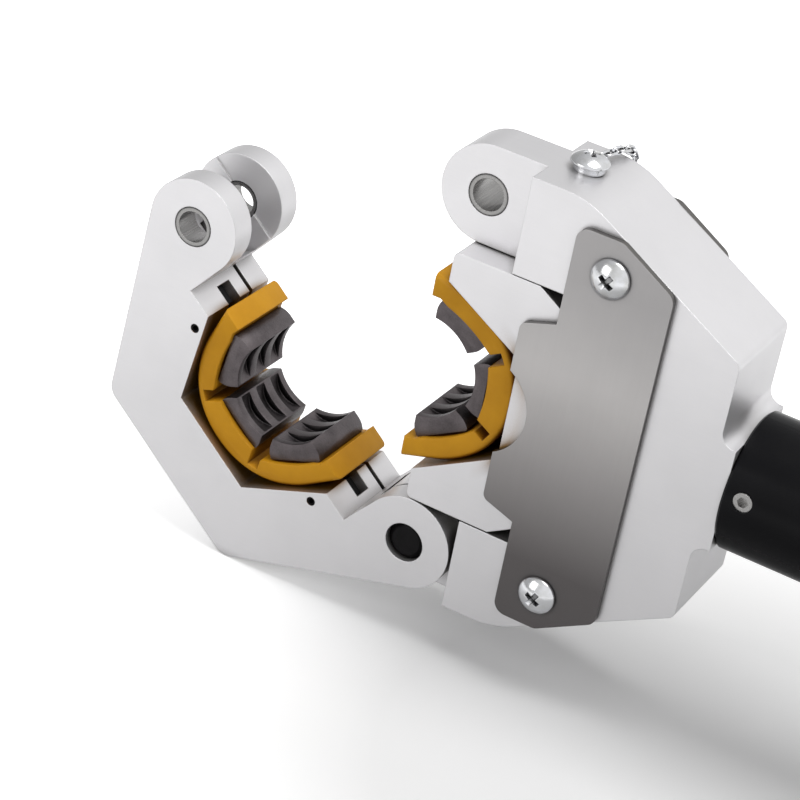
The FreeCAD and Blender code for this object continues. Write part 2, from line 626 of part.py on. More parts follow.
# a pan-head screw profile from the underside of its head: the head is a flat dome
def pan_head(under, out, shank_long, head):
    back = "-" if out == "+" else "+"
    steps = [(f"{under} {back} {shank_long}", "screw_shank"), (under, "screw_shank"), (under, head)]
    for rise in (0, 25, 45, 65):
        steps.append((f"{under} {out} screw_tall * (0.3 + 0.7 * sin({rise} deg))", f"{head} * cos({rise} deg)"))
    return steps + [(f"{under} {out} screw_tall", "0.8")]


# the two bars of a cross recess round a point
def cross_recess(x, y):
    bars = []
    for half_x, half_y in (("cross_half", "cross_wide / 2"), ("cross_wide / 2", "cross_half")):
        bars.append([(f"{x} - {half_x}", f"{y} - {half_y}"), (f"{x} + {half_x}", f"{y} - {half_y}"),
                     (f"{x} + {half_x}", f"{y} + {half_y}"), (f"{x} - {half_x}", f"{y} + {half_y}")])
    return bars


def make_screws():
    screws = []
    for side, out in (("near", "-"), ("far", "+")):
        for tag, up in (("upper", ""), ("lower", "-")):
            screw = new_body(f"plate_screw_{side}_{tag}", keep=False)
            under = f"{out}({HALF} + plate_thick)"
            steps = pan_head(under, out, "(plate_thick + screw_deep - 1)", "screw_head")
            rod(screw, steps, x="screw_x", z=f"{up}screw_z", across=True)
            start = f"{under} {out} screw_tall - {'0' if out == '-' else 'cross_deep'}"
            for bar in cross_recess("screw_x", f"{up}screw_z"):
                plate(screw, XZ, [bar], "cross_deep", start=start, cut=True)
            screws.append(screw)
    group("guide_plate_screws", screws)
    screw = new_body("chain_screw")
    steps = pan_head(SCREW_SEAT, "+", "(2 * washer_thick + tag_thick + screw_deep - 1)", "top_screw_head")
    rod(screw, steps, x="top_screw_x", lean="90")
    for bar in cross_recess("top_screw_x", "0"):
        plate(screw, XY, [bar], "cross_deep", start=f"{SCREW_SEAT} + screw_tall - cross_deep", cut=True)
    washers = []
    for tag, low in (("lower", TOP_FACE), ("upper", f"{TOP_FACE} + washer_thick")):
        washer = new_body(f"chain_washer_{tag}", keep=False)
        ring(washer, low, f"{low} + washer_thick", "screw_shank + seat_gap", "washer_radius", x="top_screw_x",
             lean="90")
        washers.append(washer)
    group("chain_washers", washers)


def make_guide_plates():
    edge = [("plate_front", "tab_root"), ("plate_front", "plate_top"), ("plate_bend", "plate_top"),
            ("plate_back", "plate_side")]
    tab = [("tab_front", "0.9 * notch_radius"), ("tab_front", "tab_high")]
    for label, start in (("near_guide_plate", f"-({HALF} + plate_thick)"), ("far_guide_plate", HALF)):
        body = new_body(label)
        plate(body, XZ, [mirrored(tab + edge)], "plate_thick", start=start)
        places = [("plate_front", "plate_top"), ("plate_bend", "plate_top"), ("plate_back", "plate_side")]
        round_edges(body, places + [(x, f"-{z}") for x, z in places], "plate_round")
        round_edges(body, [("tab_front", "tab_high"), ("tab_front", "-tab_high")], "tab_round")
        plate(body, XZ, [("notch_centre", "0", "notch_radius")], "4 * head_thick", cut=True)
        holes = [("screw_x", f"{up}screw_z", "screw_shank + run_gap") for up in ("", "-")]
        plate(body, XZ, holes, "4 * head_thick", cut=True)


# BARREL, RAM AND SPRING
PISTON_END = "(barrel_end - boss_long - piston_room)"
PISTON_FRONT = f"({PISTON_END} - piston_long)"


def make_barrel():
    barrel = new_body("barrel")
    turn(barrel, [("neck_end", "spigot_radius + seat_gap"), ("neck_end", "barrel_radius - barrel_edge"),
                  ("neck_end + barrel_edge", "barrel_radius"), ("barrel_end - barrel_edge", "barrel_radius"),
                  ("barrel_end", "barrel_radius - barrel_edge"), ("barrel_end", "bore_radius"),
                  (f"{SPIGOT_END} + 0.2", "bore_radius"), (f"{SPIGOT_END} + 0.2", "spigot_radius + seat_gap")])
    plate(barrel, XZ, [("set_screw_x", "set_screw_z", "set_screw_radius + seat_gap")],
          "barrel_radius", start="-barrel_radius - 1", cut=True)
    screw = new_body("barrel_set_screw")
    face = "sqrt(barrel_radius * barrel_radius - set_screw_z * set_screw_z)"
    plate(screw, XZ, [("set_screw_x", "set_screw_z", "set_screw_radius")],
          f"{face} - spigot_radius - 0.3", start=f"-{face} + 0.2")
    plate(screw, XZ, [hexagon("set_screw_x", "set_screw_z", "socket_flat")], "2.2",
          start=f"-{face} + 0.2", cut=True)
    wiper = new_body("rod_wiper")
    low = "throat_rear + 0.4"
    turn(wiper, [(low, "rod_radius + run_gap"), (low, "wiper_radius - 0.8"), (f"{low} + 0.8", "wiper_radius"),
                 (f"{low} + wiper_long", "wiper_radius"), (f"{low} + wiper_long", "rod_radius + run_gap + 0.5"),
                 (f"{low} + 1.2", "rod_radius + run_gap")])


def make_ram():
    nose = holder.x("holder_back - nose_long + 0.3")
    back = holder.x("holder_back")
    rod(holder.body("ram_rod"), [(nose, "rod_nose - 1"), (f"{nose} + 1", "rod_nose"), (back, "rod_nose"),
                                 (back, "rod_radius"), (PISTON_FRONT, "rod_radius"),
                                 (PISTON_FRONT, "tail_radius"),
                                 (f"{PISTON_END} + 1.0", "tail_radius")])
    piston = holder.body("piston")
    groove = f"{PISTON_FRONT} + 3"
    turn(piston, [(PISTON_FRONT, "tail_radius + seat_gap"), (PISTON_FRONT, "bore_radius - run_gap - 0.6"),
                  (f"{PISTON_FRONT} + 0.6", "bore_radius - run_gap"), (groove, "bore_radius - run_gap"),
                  (groove, "bore_radius - run_gap - seal_deep"),
                  (f"{groove} + seal_long", "bore_radius - run_gap - seal_deep"),
                  (f"{groove} + seal_long", "bore_radius - run_gap"),
                  (f"{PISTON_END}", "bore_radius - run_gap"), (f"{PISTON_END}", "nut_flat / cos(30 deg) + 0.6"),
                  (f"{PISTON_END} - nut_thick", "nut_flat / cos(30 deg) + 0.6"),
                  (f"{PISTON_END} - nut_thick", "tail_radius + seat_gap")])
    ring(holder.body("piston_seal"), f"{groove} + 0.1", f"{groove} + seal_long - 0.1",
         "bore_radius - run_gap - seal_deep + seat_gap", "bore_radius - 0.6 * run_gap")
    nut = holder.body("piston_nut")
    plate(nut, YZ, [hexagon("0", "0", "nut_flat")], "nut_thick", start=f"{PISTON_END} - nut_thick")
    plate(nut, YZ, [("0", "0", "tail_radius + seat_gap")], "2 * nut_thick",
          start=f"{PISTON_END} - 1.5 * nut_thick", cut=True)


# a helix has no sketch, so the spring's wire is swept along it directly
def make_return_spring():
    start, end = value(SPIGOT_END) + 0.5, value(PISTON_FRONT) - 0.3
    wire = value("wire_radius")
    long = end - start - 2 * wire
    helix = Part.makeHelix(long / value("spring_turns"), long, value("spring_radius"))
    section = Part.Wire(Part.Circle(V(value("spring_radius"), 0, 0), V(0, 1, 0), wire).toShape())
    coil = Part.Wire(helix).makePipeShell([section], True, True)
    spring = doc.addObject("Part::Feature", "return_spring")
    spring.Label = "return_spring"
    spring.Shape = coil
    spring.Placement = FreeCAD.Placement(V(start + wire, 0, 0), FreeCAD.Rotation(V(0, 1, 0), 90))
    nodes.append(spring)


# PUMP BLOCK AND VALVES
BLOCK_END = "(barrel_end + block_long)"
PIVOT_X = "(barrel_end + pivot_back)"
SWING = "lever_swing * 1 deg"
PUMP_X = f"({PIVOT_X} + lever_arm * (1 + cos({SWING})) / 2)"
CROSS_X = f"({PIVOT_X} + lever_arm * cos({SWING}))"
CROSS_Z = f"(pivot_high - lever_arm * sin({SWING}))"
TANK_BORE = "(tank_radius - tank_wall)"


def make_pump_block():
    block = new_body("pump_block")
    front, end = "barrel_end", BLOCK_END
    section = [("-block_half", "block_low"), ("block_half", "block_low"), ("block_half", "block_top"),
               ("-block_half", "block_top")]
    plate(block, YZ, [section], "block_long", start=front)
    doc.recompute()
    names = [f"Edge{n}" for n, e in enumerate(block.Tip.Shape.Edges, 1)
             if abs(e.Vertexes[0].X - e.Vertexes[-1].X) > value("block_long") - 1]
    edges = block.newObject("PartDesign::Fillet", "pump_block_edges")
    edges.Base = (edges.BaseFeature or block.Tip, names)
    edges.setExpression("Radius", link("block_round"))
    tower = [(f"{PIVOT_X} - pivot_round", "block_top - 2"), (f"{PIVOT_X} + pivot_round", "block_top - 2"),
             (f"{PIVOT_X} + pivot_round", "pivot_high"), (f"{PIVOT_X} - pivot_round", "pivot_high")]
    plate(block, XZ, [tower], "pivot_thick")
    plate(block, XZ, [(PIVOT_X, "pivot_high", "pivot_round")], "pivot_thick")
    rod(block, [(f"{front} - boss_long", "bore_radius - seat_gap"), (f"{front} + 1", "bore_radius - seat_gap")])
    rod(block, [(f"{end} - 1", f"{TANK_BORE} - seat_gap"), (f"{end} + boss_long", f"{TANK_BORE} - seat_gap")])
    plate(block, XZ, [(PIVOT_X, "pivot_high", "pivot_radius + run_gap")], "2 * pivot_thick", cut=True)
    rod(block, [("plunger_base", "plunger_radius + run_gap"), ("gland_low - gland_seal", "plunger_radius + run_gap"),
                ("gland_low - gland_seal", "gland_radius"), ("block_top + 1", "gland_radius")],
        x=PUMP_X, lean="90", cut=True)
    rod(block, [("block_low - 1", "valve_radius"), ("block_low + valve_long", "valve_radius"),
                ("block_low + valve_long", "oil_way"), ("plunger_base + 1", "oil_way")],
        x=PUMP_X, lean="90", cut=True)
    for shift in ("-valve_x", "valve_x"):
        rod(block, [("block_half - valve_long", "valve_radius"), ("block_half + 1", "valve_radius")],
            x=f"{PUMP_X} + {shift}", z="valve_z", across=True, cut=True)
    rod(block, [("-block_half - 1", "release_radius + run_gap"), ("-block_half / 2", "release_radius + run_gap")],
        x=f"{front} + release_x", across=True, cut=True)
    rod(block, [(f"{front} - boss_long - 1", "oil_way"), (PUMP_X, "oil_way")], cut=True)


def valve(label, x, low, high, sign, upright):
    body = new_body(label)
    place = {"x": x, "lean": "90"} if upright else {"x": x, "z": "valve_z", "across": True}
    rod(body, [(low, "valve_radius - 1"), (f"{low} {sign} 1", "valve_radius - seat_gap"),
               (high, "valve_radius - seat_gap")], **place)
    start = high if sign == "+" else f"{high} - valve_head"
    if upright:
        plate(body, XY, [hexagon(x, "0", "valve_hex")], "valve_head", start=start)
    else:
        plate(body, XZ, [hexagon(x, "valve_z", "valve_hex")], "valve_head", start=start)


def make_pump_parts():
    valve("inlet_valve", PUMP_X, "block_low + valve_long - 0.2", "block_low", "-", True)
    for label, shift in (("outlet_valve", "-valve_x"), ("relief_valve", "valve_x")):
        valve(label, f"{PUMP_X} + {shift}", "block_half - valve_long + 0.2", "block_half", "+", False)
    seal = new_body("plunger_seal")
    ring(seal, "gland_low - gland_seal + 0.1", "gland_low", "plunger_radius + run_gap", "gland_radius - seat_gap",
         x=PUMP_X, lean="90")
    gland = new_body("plunger_gland")
    turn(gland, [("gland_low", "plunger_radius + run_gap"), ("gland_low", "gland_radius - seat_gap"),
                 ("block_top", "gland_radius - seat_gap"), ("block_top", "plunger_radius + 1.2"),
                 ("block_top - 0.8", "plunger_radius + run_gap")], x=PUMP_X, lean="90")
    for angle in (0, 180):
        hole = (f"{PUMP_X} + (plunger_radius + gland_radius) / 2 * cos({angle} deg)", "0", "0.9")
        plate(gland, XY, [hole], "3", start="block_top - 2", cut=True)
    stem_body = new_body("release_valve_stem")
    x = f"barrel_end + release_x"
    knob_low = "(-block_half - knob_stand)"
    rod(stem_body, [(f"{knob_low} - knob_long + 2", "release_radius - 0.6"), (f"{knob_low}", "release_radius - 0.6"),
                    (knob_low, "release_radius"), ("-block_half / 2 - 3", "release_radius"),
                    ("-block_half / 2 - 0.3", "0.4")], x=x, across=True)
    knob = new_body("release_valve_knob")
    turn(knob, [(knob_low, "release_radius - 0.6 + seat_gap"), (knob_low, "knob_radius - 1.5"),
                (f"{knob_low} - 1.5", "knob_radius"), (f"{knob_low} - knob_long + 1.5", "knob_radius"),
                (f"{knob_low} - knob_long", "knob_radius - 1.5"),
                (f"{knob_low} - knob_long", "release_radius - 0.6 + seat_gap")], x=x, across=True)
    flutes = [(f"{x} + knob_radius * 1.12 * cos({36 * i} deg)", f"knob_radius * 1.12 * sin({36 * i} deg)",
               "knob_radius * 0.22") for i in range(10)]
    plate(knob, XZ, flutes, "2 * knob_long", start=f"{knob_low} - 1.5 * knob_long", cut=True)


def make_plunger():
    plunger = new_body("pump_plunger")
    rod(plunger, [("plunger_low", "plunger_radius - 0.8"), ("plunger_low + 0.8", "plunger_radius"),
                  (f"{CROSS_Z} - cross_radius", "plunger_radius")], x=PUMP_X, lean="90")
    eye = "(plunger_radius + 0.6)"
    cheeks = [(f"{PUMP_X} - {eye}", f"{CROSS_Z} - {eye}"), (f"{PUMP_X} + {eye}", f"{CROSS_Z} - {eye}"),
              (f"{PUMP_X} + {eye}", f"{CROSS_Z} + {eye}"), (f"{PUMP_X} - {eye}", f"{CROSS_Z} + {eye}")]
    plate(plunger, XZ, [cheeks], "pivot_thick")
    hole = "cross_radius + eye_play"
    slot = [(f"{PUMP_X} - eye_slot", f"{CROSS_Z} - {hole}"), (f"{PUMP_X} + eye_slot", f"{CROSS_Z} - {hole}"),
            (f"{PUMP_X} + eye_slot", f"{CROSS_Z} + {hole}"), (f"{PUMP_X} - eye_slot", f"{CROSS_Z} + {hole}")]
    plate(plunger, XZ, [slot], "2 * pivot_thick", cut=True)
    for sign in ("-", "+"):
        plate(plunger, XZ, [(f"{PUMP_X} {sign} eye_slot", CROSS_Z, hole)], "2 * pivot_thick", cut=True)


# PUMP LEVER
FORK_HALF = "(pivot_thick / 2 + fork_gap + fork_wall)"
SOCKET_X = f"({PIVOT_X} + fork_long)"
SOCKET_Z = "(pivot_high + 3)"


def make_lever():
    fork = new_body("lever_fork")
    root = f"{SOCKET_X} + 2"
    cheek = [(PIVOT_X, "pivot_high + pivot_round"), (root, f"{SOCKET_Z} + lever_radius"),
             (root, f"{SOCKET_Z} - lever_radius"), (CROSS_X, f"{CROSS_Z} - 2.2 * cross_radius"),
             (PIVOT_X, "pivot_high - pivot_round")]
    plate(fork, XZ, [cheek], f"2 * {FORK_HALF}")
    plate(fork, XZ, [(PIVOT_X, "pivot_high", "pivot_round")], f"2 * {FORK_HALF}")
    place = {"x": SOCKET_X, "z": SOCKET_Z, "lean": "lever_rise"}
    wall = "(lever_radius + 2.4)"
    rod(fork, [("-2", f"{wall} - 2"), ("0", wall), ("socket_long - 1", wall), ("socket_long", f"{wall} - 1")], **place)
    gap = [(f"{PIVOT_X} - 2 * pivot_round", "0"), (f"{SOCKET_X} - 14", "0"),
           (f"{SOCKET_X} - 14", "4 * pivot_high"), (f"{PIVOT_X} - 2 * pivot_round", "4 * pivot_high")]
    plate(fork, XZ, [gap], "pivot_thick + 2 * fork_gap", cut=True)
    holes = [(PIVOT_X, "pivot_high", "pivot_radius + seat_gap"), (CROSS_X, CROSS_Z, "cross_radius + seat_gap")]
    plate(fork, XZ, holes, f"4 * {FORK_HALF}", cut=True)
    rod(fork, [("5", "lever_radius + seat_gap"), ("socket_long + 2", "lever_radius + seat_gap")], cut=True, **place)
    turn(new_body("lever_tube"), [("5.2", "lever_radius - lever_wall"), ("5.2", "lever_radius"),
                                  ("lever_long - grip_wall", "lever_radius"),
                                  ("lever_long - grip_wall", "lever_radius - lever_wall")], **place)
    grip(new_body("lever_grip"), "lever_long - lever_grip", "lever_long", "lever_radius", True, **place)
    cap = [(f"-{FORK_HALF} - 1", "pivot_radius"), (f"{FORK_HALF} + 1", "pivot_radius")]
    rod(new_body("lever_pivot_pin"), cap, x=PIVOT_X, z="pivot_high", across=True)
    rod(new_body("plunger_cross_pin"), [(f"-{FORK_HALF}", "cross_radius - 0.5"), (f"-{FORK_HALF} + 0.5", "cross_radius"),
                                        (f"{FORK_HALF} - 0.5", "cross_radius"), (FORK_HALF, "cross_radius - 0.5")],
        x=CROSS_X, z=CROSS_Z, across=True)


# ribbed rubber sleeve over a tube, closed over the tube's end where asked
def grip(body, low, high, inner, closed, **place):
    outer = f"({inner} + grip_wall)"
    count = int((value(high) - value(low) - 2 * value("grip_rib")) / value("grip_rib"))
    profile = [(low, f"{inner} + seat_gap"), (low, f"{outer} - 1.2"), (f"{low} + 1.5", outer)]
    for i in range(count):
        at = f"{low} + grip_rib * {i + 1}"
        profile += [(at, outer), (f"{at} + 1", f"{outer} - 1"), (f"{at} + 3", f"{outer} - 1"), (f"{at} + 4", outer)]
    profile += [(f"{high} - 1.5", outer), (high, f"{outer} - 1.5")]
    if closed:
        profile += [(high, "0"), (f"{high} - grip_wall + 0.2", "0"), (f"{high} - grip_wall + 0.2", f"{inner} + seat_gap")]
    else:
        profile += [(high, f"{inner} + seat_gap")]
    turn(body, profile, **place)


def make_handle():
    end = f"({BLOCK_END} + tank_long)"
    ring(new_body("reservoir_tube"), BLOCK_END, end, TANK_BORE, "tank_radius")
    bladder = new_body("oil_bladder")
    low, high = f"({BLOCK_END} + boss_long + 0.3)", f"({end} - cap_plug - 1)"
    inside = "bladder_radius - bladder_wall"
    turn(bladder, [(low, inside), (low, "bladder_radius - 0.5"), (f"{low} + 0.5", "bladder_radius"),
                   (f"{high} - 5", "bladder_radius"), (high, "bladder_radius - 6"), (high, "0.5"),
                   (f"{high} - bladder_wall", "0.5"), (f"{high} - bladder_wall", "bladder_radius - 6.5"),
                   (f"{high} - 5.5", inside)])
    grip(new_body("handle_grip"), f"{BLOCK_END} + grip_start", f"{end} - 2", "tank_radius", False)
    cap = new_body("handle_end_cap")
    rim = "(tank_radius + grip_wall - 1)"
    rod(cap, [(f"{end} - cap_plug", f"{TANK_BORE} - seat_gap"), (end, f"{TANK_BORE} - seat_gap"),
              (end, rim), (f"{end} + cap_long - 3", rim), (f"{end} + cap_long", f"{rim} - 3")])
    rod(cap, [(f"{end} - cap_plug - 1", "filler_radius + seat_gap"),
              (f"{end} + cap_long + 1", "filler_radius + seat_gap")], cut=True)
    plug = new_body("filler_plug")
    rod(plug, [(f"{end} - cap_plug", "filler_radius - 1"), (f"{end} - cap_plug + 1", "filler_radius"),
               (f"{end} + cap_long", "filler_radius")])
    plate(plug, YZ, [hexagon("0", "0", "filler_radius + 2")], "4", start=f"{end} + cap_long")


# LOCKING PIN AND CHAIN
# a link is a wire bent into a stadium, and no workbench feature bends it: it is swept here
def chain_link(near, far, across):
    centre, along = (near + far) * 0.5, (far - near).normalize()
    wire = value("link_wire")
    bend = value("link_wide") / 2 - wire
    run = (value("link_long") - value("link_wide")) / 2

    def at(u, v):
        return centre + along * u + across * v

    path = Part.Wire([Part.LineSegment(at(-run, bend), at(run, bend)).toShape(),
                      Part.Arc(at(run, bend), at(run + bend, 0), at(run, -bend)).toShape(),
                      Part.LineSegment(at(run, -bend), at(-run, -bend)).toShape(),
                      Part.Arc(at(-run, -bend), at(-run - bend, 0), at(-run, bend)).toShape()])
    section = Part.Wire(Part.Circle(at(-run, bend), along, wire).toShape())
    return path.makePipeShell([section], True, True)


# links between joints one pitch apart, each turned a quarter from the one before
def chain(label, start, headings):
    pitch = value("link_long") - 4 * value("link_wire") - value("link_gap")
    joints, links = [start], []
    for number, heading in enumerate(headings):
        joints.append(joints[-1] + heading * pitch)
        side = V(1, 0, 0) - heading * heading.x
        side.normalize()
        across = heading.cross(side) if number % 2 == 0 else side
        links.append(chain_link(joints[-2], joints[-1], across))
    item = doc.addObject("Part::Feature", label)
    item.Label = label
    item.Shape = Part.makeCompound(links)
    item.Placement = FreeCAD.Placement()
    nodes.append(item)
    return joints


def make_chain():
    tag = new_body("chain_tag")
    half = "tag_wide / 2"
    plate(tag, XY, [("top_screw_x", "0", "washer_radius")], "tag_thick", start=TAG_Z)
    strap = [(f"top_screw_x - {half}", "0"), (f"top_screw_x + {half}", "0"),
             (f"top_screw_x + {half}", "tag_reach"), (f"top_screw_x - {half}", "tag_reach")]
    plate(tag, XY, [strap], "tag_thick", start=TAG_Z)
    plate(tag, XY, [("top_screw_x", "tag_reach", half)], "tag_thick", start=TAG_Z)
    plate(tag, XY, [("top_screw_x", "0", "screw_shank + seat_gap"), ("top_screw_x", "tag_reach", "tag_hole")],
          "3 * tag_thick", start=f"{TAG_Z} - tag_thick", cut=True)
    start = V(value("top_screw_x"), value("tag_reach + link_gap"), value(f"{TAG_Z} + tag_thick / 2"))
    turned = math.radians(value("chain_turn"))
    headings = []
    for drop in (-8, -4, 2, 6, 20, 55):
        lean = math.radians(drop)
        headings.append(V(math.cos(lean) * math.sin(turned), math.cos(lean) * math.cos(turned), -math.sin(lean)))
    top = chain("anchor_chain", start, headings)[-1]
    lean = math.radians(value("chain_lean"))
    heading = V(0, math.sin(lean), -math.cos(lean))
    foot = chain("hanging_chain", top, [heading] * 6)[-1]
    return foot + heading * value("link_wire + link_gap / 2") - V(0, 0, value("eye_hole - link_wire - link_gap / 2"))


# the pin hangs upright beside the far plate, on the last link through its eye
def make_locking_pin(eye):
    pin = new_body("locking_pin")
    foot = "(head_thick + 8)"
    low = f"(-eye_rise - pin_head - {foot})"
    rod(pin, [(low, "lock_radius - 2"), (f"{low} + 3", "lock_radius"), ("-eye_rise - pin_head", "lock_radius"),
              ("-eye_rise - pin_head", "pin_knob - 0.6"), ("-eye_rise - pin_head + 0.6", "pin_knob"),
              ("-eye_rise - 1.5", "pin_knob"), ("-eye_rise", "pin_knob - 1.5")], lean="90")
    tab = [("-eye_round", "-eye_rise - 1"), ("eye_round", "-eye_rise - 1"), ("eye_round", "0"), ("-eye_round", "0")]
    plate(pin, YZ, [tab], "eye_thick")
    plate(pin, YZ, [("0", "0", "eye_round")], "eye_thick")
    plate(pin, YZ, [("0", "0", "eye_hole")], "2 * eye_thick", cut=True)
    pin.Placement = FreeCAD.Placement(eye, FreeCAD.Rotation())


make_head_frame()
make_swing_jaw()
make_die_holder()
for half in (jaw, holder):
    make_catches(half)
    make_carrier(half)
    for piece in SEGMENTS:
        make_segment(half, *piece)
make_pins_and_bushes()
make_guide_plates()
make_screws()
make_barrel()
make_ram()
make_return_spring()
make_pump_block()
make_pump_parts()
make_plunger()
make_lever()
make_handle()
make_locking_pin(make_chain())

doc.recompute()
faults = [o.Name for o in doc.Objects if {"Invalid", "Error"} & set(o.State)]
faults += [o.Label for o in nodes if o.Shape.isNull() or not o.Shape.isValid() or not o.Shape.Solids]
for owner, item in cuts:
    before = item.BaseFeature.Shape.Volume
    if item.Shape.Volume > before - 1e-3:
        faults.append(f"{item.Name} in {owner.Label} cuts nothing")
if faults:
    raise RuntimeError("failed: " + ", ".join(faults))

os.makedirs("parts", exist_ok=True)
for item in nodes:
    item.Shape.exportStep(f"parts/{item.Label}.step")
print(len(nodes), "nodes checked and written")
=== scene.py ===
import math
import bmesh
import bpy
from mathutils import Matrix, Vector


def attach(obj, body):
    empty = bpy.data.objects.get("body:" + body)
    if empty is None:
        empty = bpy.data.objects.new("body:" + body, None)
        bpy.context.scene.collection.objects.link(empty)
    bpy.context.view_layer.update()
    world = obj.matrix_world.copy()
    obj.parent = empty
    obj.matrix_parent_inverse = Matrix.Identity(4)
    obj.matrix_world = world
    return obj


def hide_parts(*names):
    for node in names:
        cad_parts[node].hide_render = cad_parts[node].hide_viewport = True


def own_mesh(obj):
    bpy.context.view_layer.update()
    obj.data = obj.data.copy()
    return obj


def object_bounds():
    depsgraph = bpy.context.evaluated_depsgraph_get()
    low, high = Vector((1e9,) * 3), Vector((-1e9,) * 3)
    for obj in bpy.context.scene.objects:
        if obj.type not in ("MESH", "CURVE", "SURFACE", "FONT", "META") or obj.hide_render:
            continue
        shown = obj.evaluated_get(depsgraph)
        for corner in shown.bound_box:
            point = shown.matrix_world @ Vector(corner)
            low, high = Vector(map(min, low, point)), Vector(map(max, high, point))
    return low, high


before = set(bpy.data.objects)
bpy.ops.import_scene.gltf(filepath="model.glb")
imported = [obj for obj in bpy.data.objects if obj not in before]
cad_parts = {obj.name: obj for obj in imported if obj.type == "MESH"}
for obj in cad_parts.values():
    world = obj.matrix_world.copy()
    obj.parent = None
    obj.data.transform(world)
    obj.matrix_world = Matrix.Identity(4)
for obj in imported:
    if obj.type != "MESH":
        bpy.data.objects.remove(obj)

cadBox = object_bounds()
print("frame loaded")

# the jaw is drawn shut and swung open about its hinge pin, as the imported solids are
jawSwing = {"hinge": Vector((0.0132, 0, -0.0585)), "openBy": 50.5}
swungOpen = (Matrix.Translation(jawSwing["hinge"])
             @ Matrix.Rotation(math.radians(-jawSwing["openBy"]), 4, "Y")
             @ Matrix.Translation(-jawSwing["hinge"]))
halfTurn = Matrix.Rotation(math.pi, 4, "Z")
holderCentre = Matrix.Translation((0.0079, 0, 0))


# camera
photoCamera = {"place": (0.2994, -0.6790, 0.3960), "right": (0.85676, 0.48781, 0.16734),
               "up": (-0.37223, 0.36034, 0.85534), "back": (0.35694, -0.79511, 0.49030),
               "lens": 123.83, "film": 36, "clip": (0.02, 30)}
lensData = bpy.data.cameras.new("photoCamera")
lensData.lens = photoCamera["lens"]
lensData.sensor_width = photoCamera["film"]
lensData.clip_start, lensData.clip_end = photoCamera["clip"]
cameraObject = bpy.data.objects.new("photoCamera", lensData)
bpy.context.scene.collection.objects.link(cameraObject)
cameraTurn = Matrix([photoCamera[side] for side in ("right", "up", "back")]).transposed().to_4x4()
cameraObject.matrix_world = Matrix.Translation(photoCamera["place"]) @ cameraTurn
bpy.context.scene.camera = cameraObject
print("camera placed")


# hand work: selecting, cutting and finishing a mesh
def pick(piece):
    if bpy.context.mode != "OBJECT":
        bpy.ops.object.mode_set(mode="OBJECT")
    bpy.ops.object.select_all(action="DESELECT")
    piece.select_set(True)
    bpy.context.view_layer.objects.active = piece


def named(name):
    piece = bpy.context.active_object
    piece.name = name
    piece.data.name = name
    return piece


def settle(piece):
    pick(piece)
    bpy.ops.object.transform_apply(location=True, rotation=True, scale=True)
    return piece


def block(name, low, high):
    bpy.ops.object.select_all(action="DESELECT")
    low, high = Vector(low), Vector(high)
    bpy.ops.mesh.primitive_cube_add(size=1, location=(low + high) / 2)
    piece = named(name)
    piece.scale = high - low
    return settle(piece)


# a round bar along Y, between two places on Y
def barAlongY(name, x, z, radius, low, high, sides):
    bpy.ops.object.select_all(action="DESELECT")
    bpy.ops.mesh.primitive_cylinder_add(vertices=sides, radius=radius, depth=high - low,
                                        location=(x, (low + high) / 2, z), rotation=(math.pi / 2, 0, 0))
    return settle(named(name))


# edit mode with nothing selected yet
def openForEdit(piece, kind):
    pick(piece)
    bpy.ops.object.mode_set(mode="EDIT")
    bpy.ops.mesh.select_mode(type=kind)
    bpy.ops.mesh.select_all(action="DESELECT")
    return bmesh.from_edit_mesh(piece.data)


def editVerts(piece, test):
    mesh = openForEdit(piece, "VERT")
    for vert in mesh.verts:
        vert.select = bool(test(vert.co))
    mesh.select_flush_mode()
    bmesh.update_edit_mesh(piece.data)


def editFaces(piece, test):
    mesh = openForEdit(piece, "FACE")
    for face in mesh.faces:
        face.select = bool(test(face.calc_center_median(), face.normal))
    mesh.select_flush_mode()
    bmesh.update_edit_mesh(piece.data)


def editEdges(piece, test):
    mesh = openForEdit(piece, "EDGE")
    for edge in mesh.edges:
        edge.select = bool(test(*(vert.co for vert in edge.verts)))
    bmesh.update_edit_mesh(piece.data)


def planeCut(piece, place, normal, drop=False):
    pick(piece)
    bpy.ops.object.mode_set(mode="EDIT")
    bpy.ops.mesh.select_all(action="SELECT")
    bpy.ops.mesh.bisect(plane_co=place, plane_no=normal, clear_outer=drop, use_fill=drop)
    bpy.ops.object.mode_set(mode="OBJECT")


def finishWith(piece, kind, **settings):
    pick(piece)
    modifier = piece.modifiers.new(kind.lower(), kind)
    for name, entry in settings.items():
        setattr(modifier, name, entry)
    bpy.ops.object.modifier_apply(modifier=modifier.name)


def carve(piece, cutter, operation="DIFFERENCE"):
    finishWith(piece, "BOOLEAN", object=cutter, operation=operation, solver="EXACT")
    bpy.data.objects.remove(cutter, do_unlink=True)


def easeEdges(piece, width, rounds, above=32):
    finishWith(piece, "BEVEL", width=width, segments=rounds, limit_method="ANGLE",
               angle_limit=math.radians(above))
    pick(piece)
    bpy.ops.object.shade_smooth_by_angle(angle=math.radians(above))


# too short to see: a step that only changes a turned piece's radius, and the slack of a test
hair = 0.00001


def cleanShell(piece):
    pick(piece)
    bpy.ops.object.mode_set(mode="EDIT")
    bpy.ops.mesh.select_all(action="SELECT")
    bpy.ops.mesh.remove_doubles(threshold=hair / 2)
    bpy.ops.mesh.normals_make_consistent(inside=False)
    bpy.ops.object.mode_set(mode="OBJECT")


def copyOf(piece, name, matrix):
    twin = piece.copy()
    twin.data = piece.data.copy()
    twin.name = twin.data.name = name
    bpy.context.scene.collection.objects.link(twin)
    twin.data.transform(matrix)
    return twin


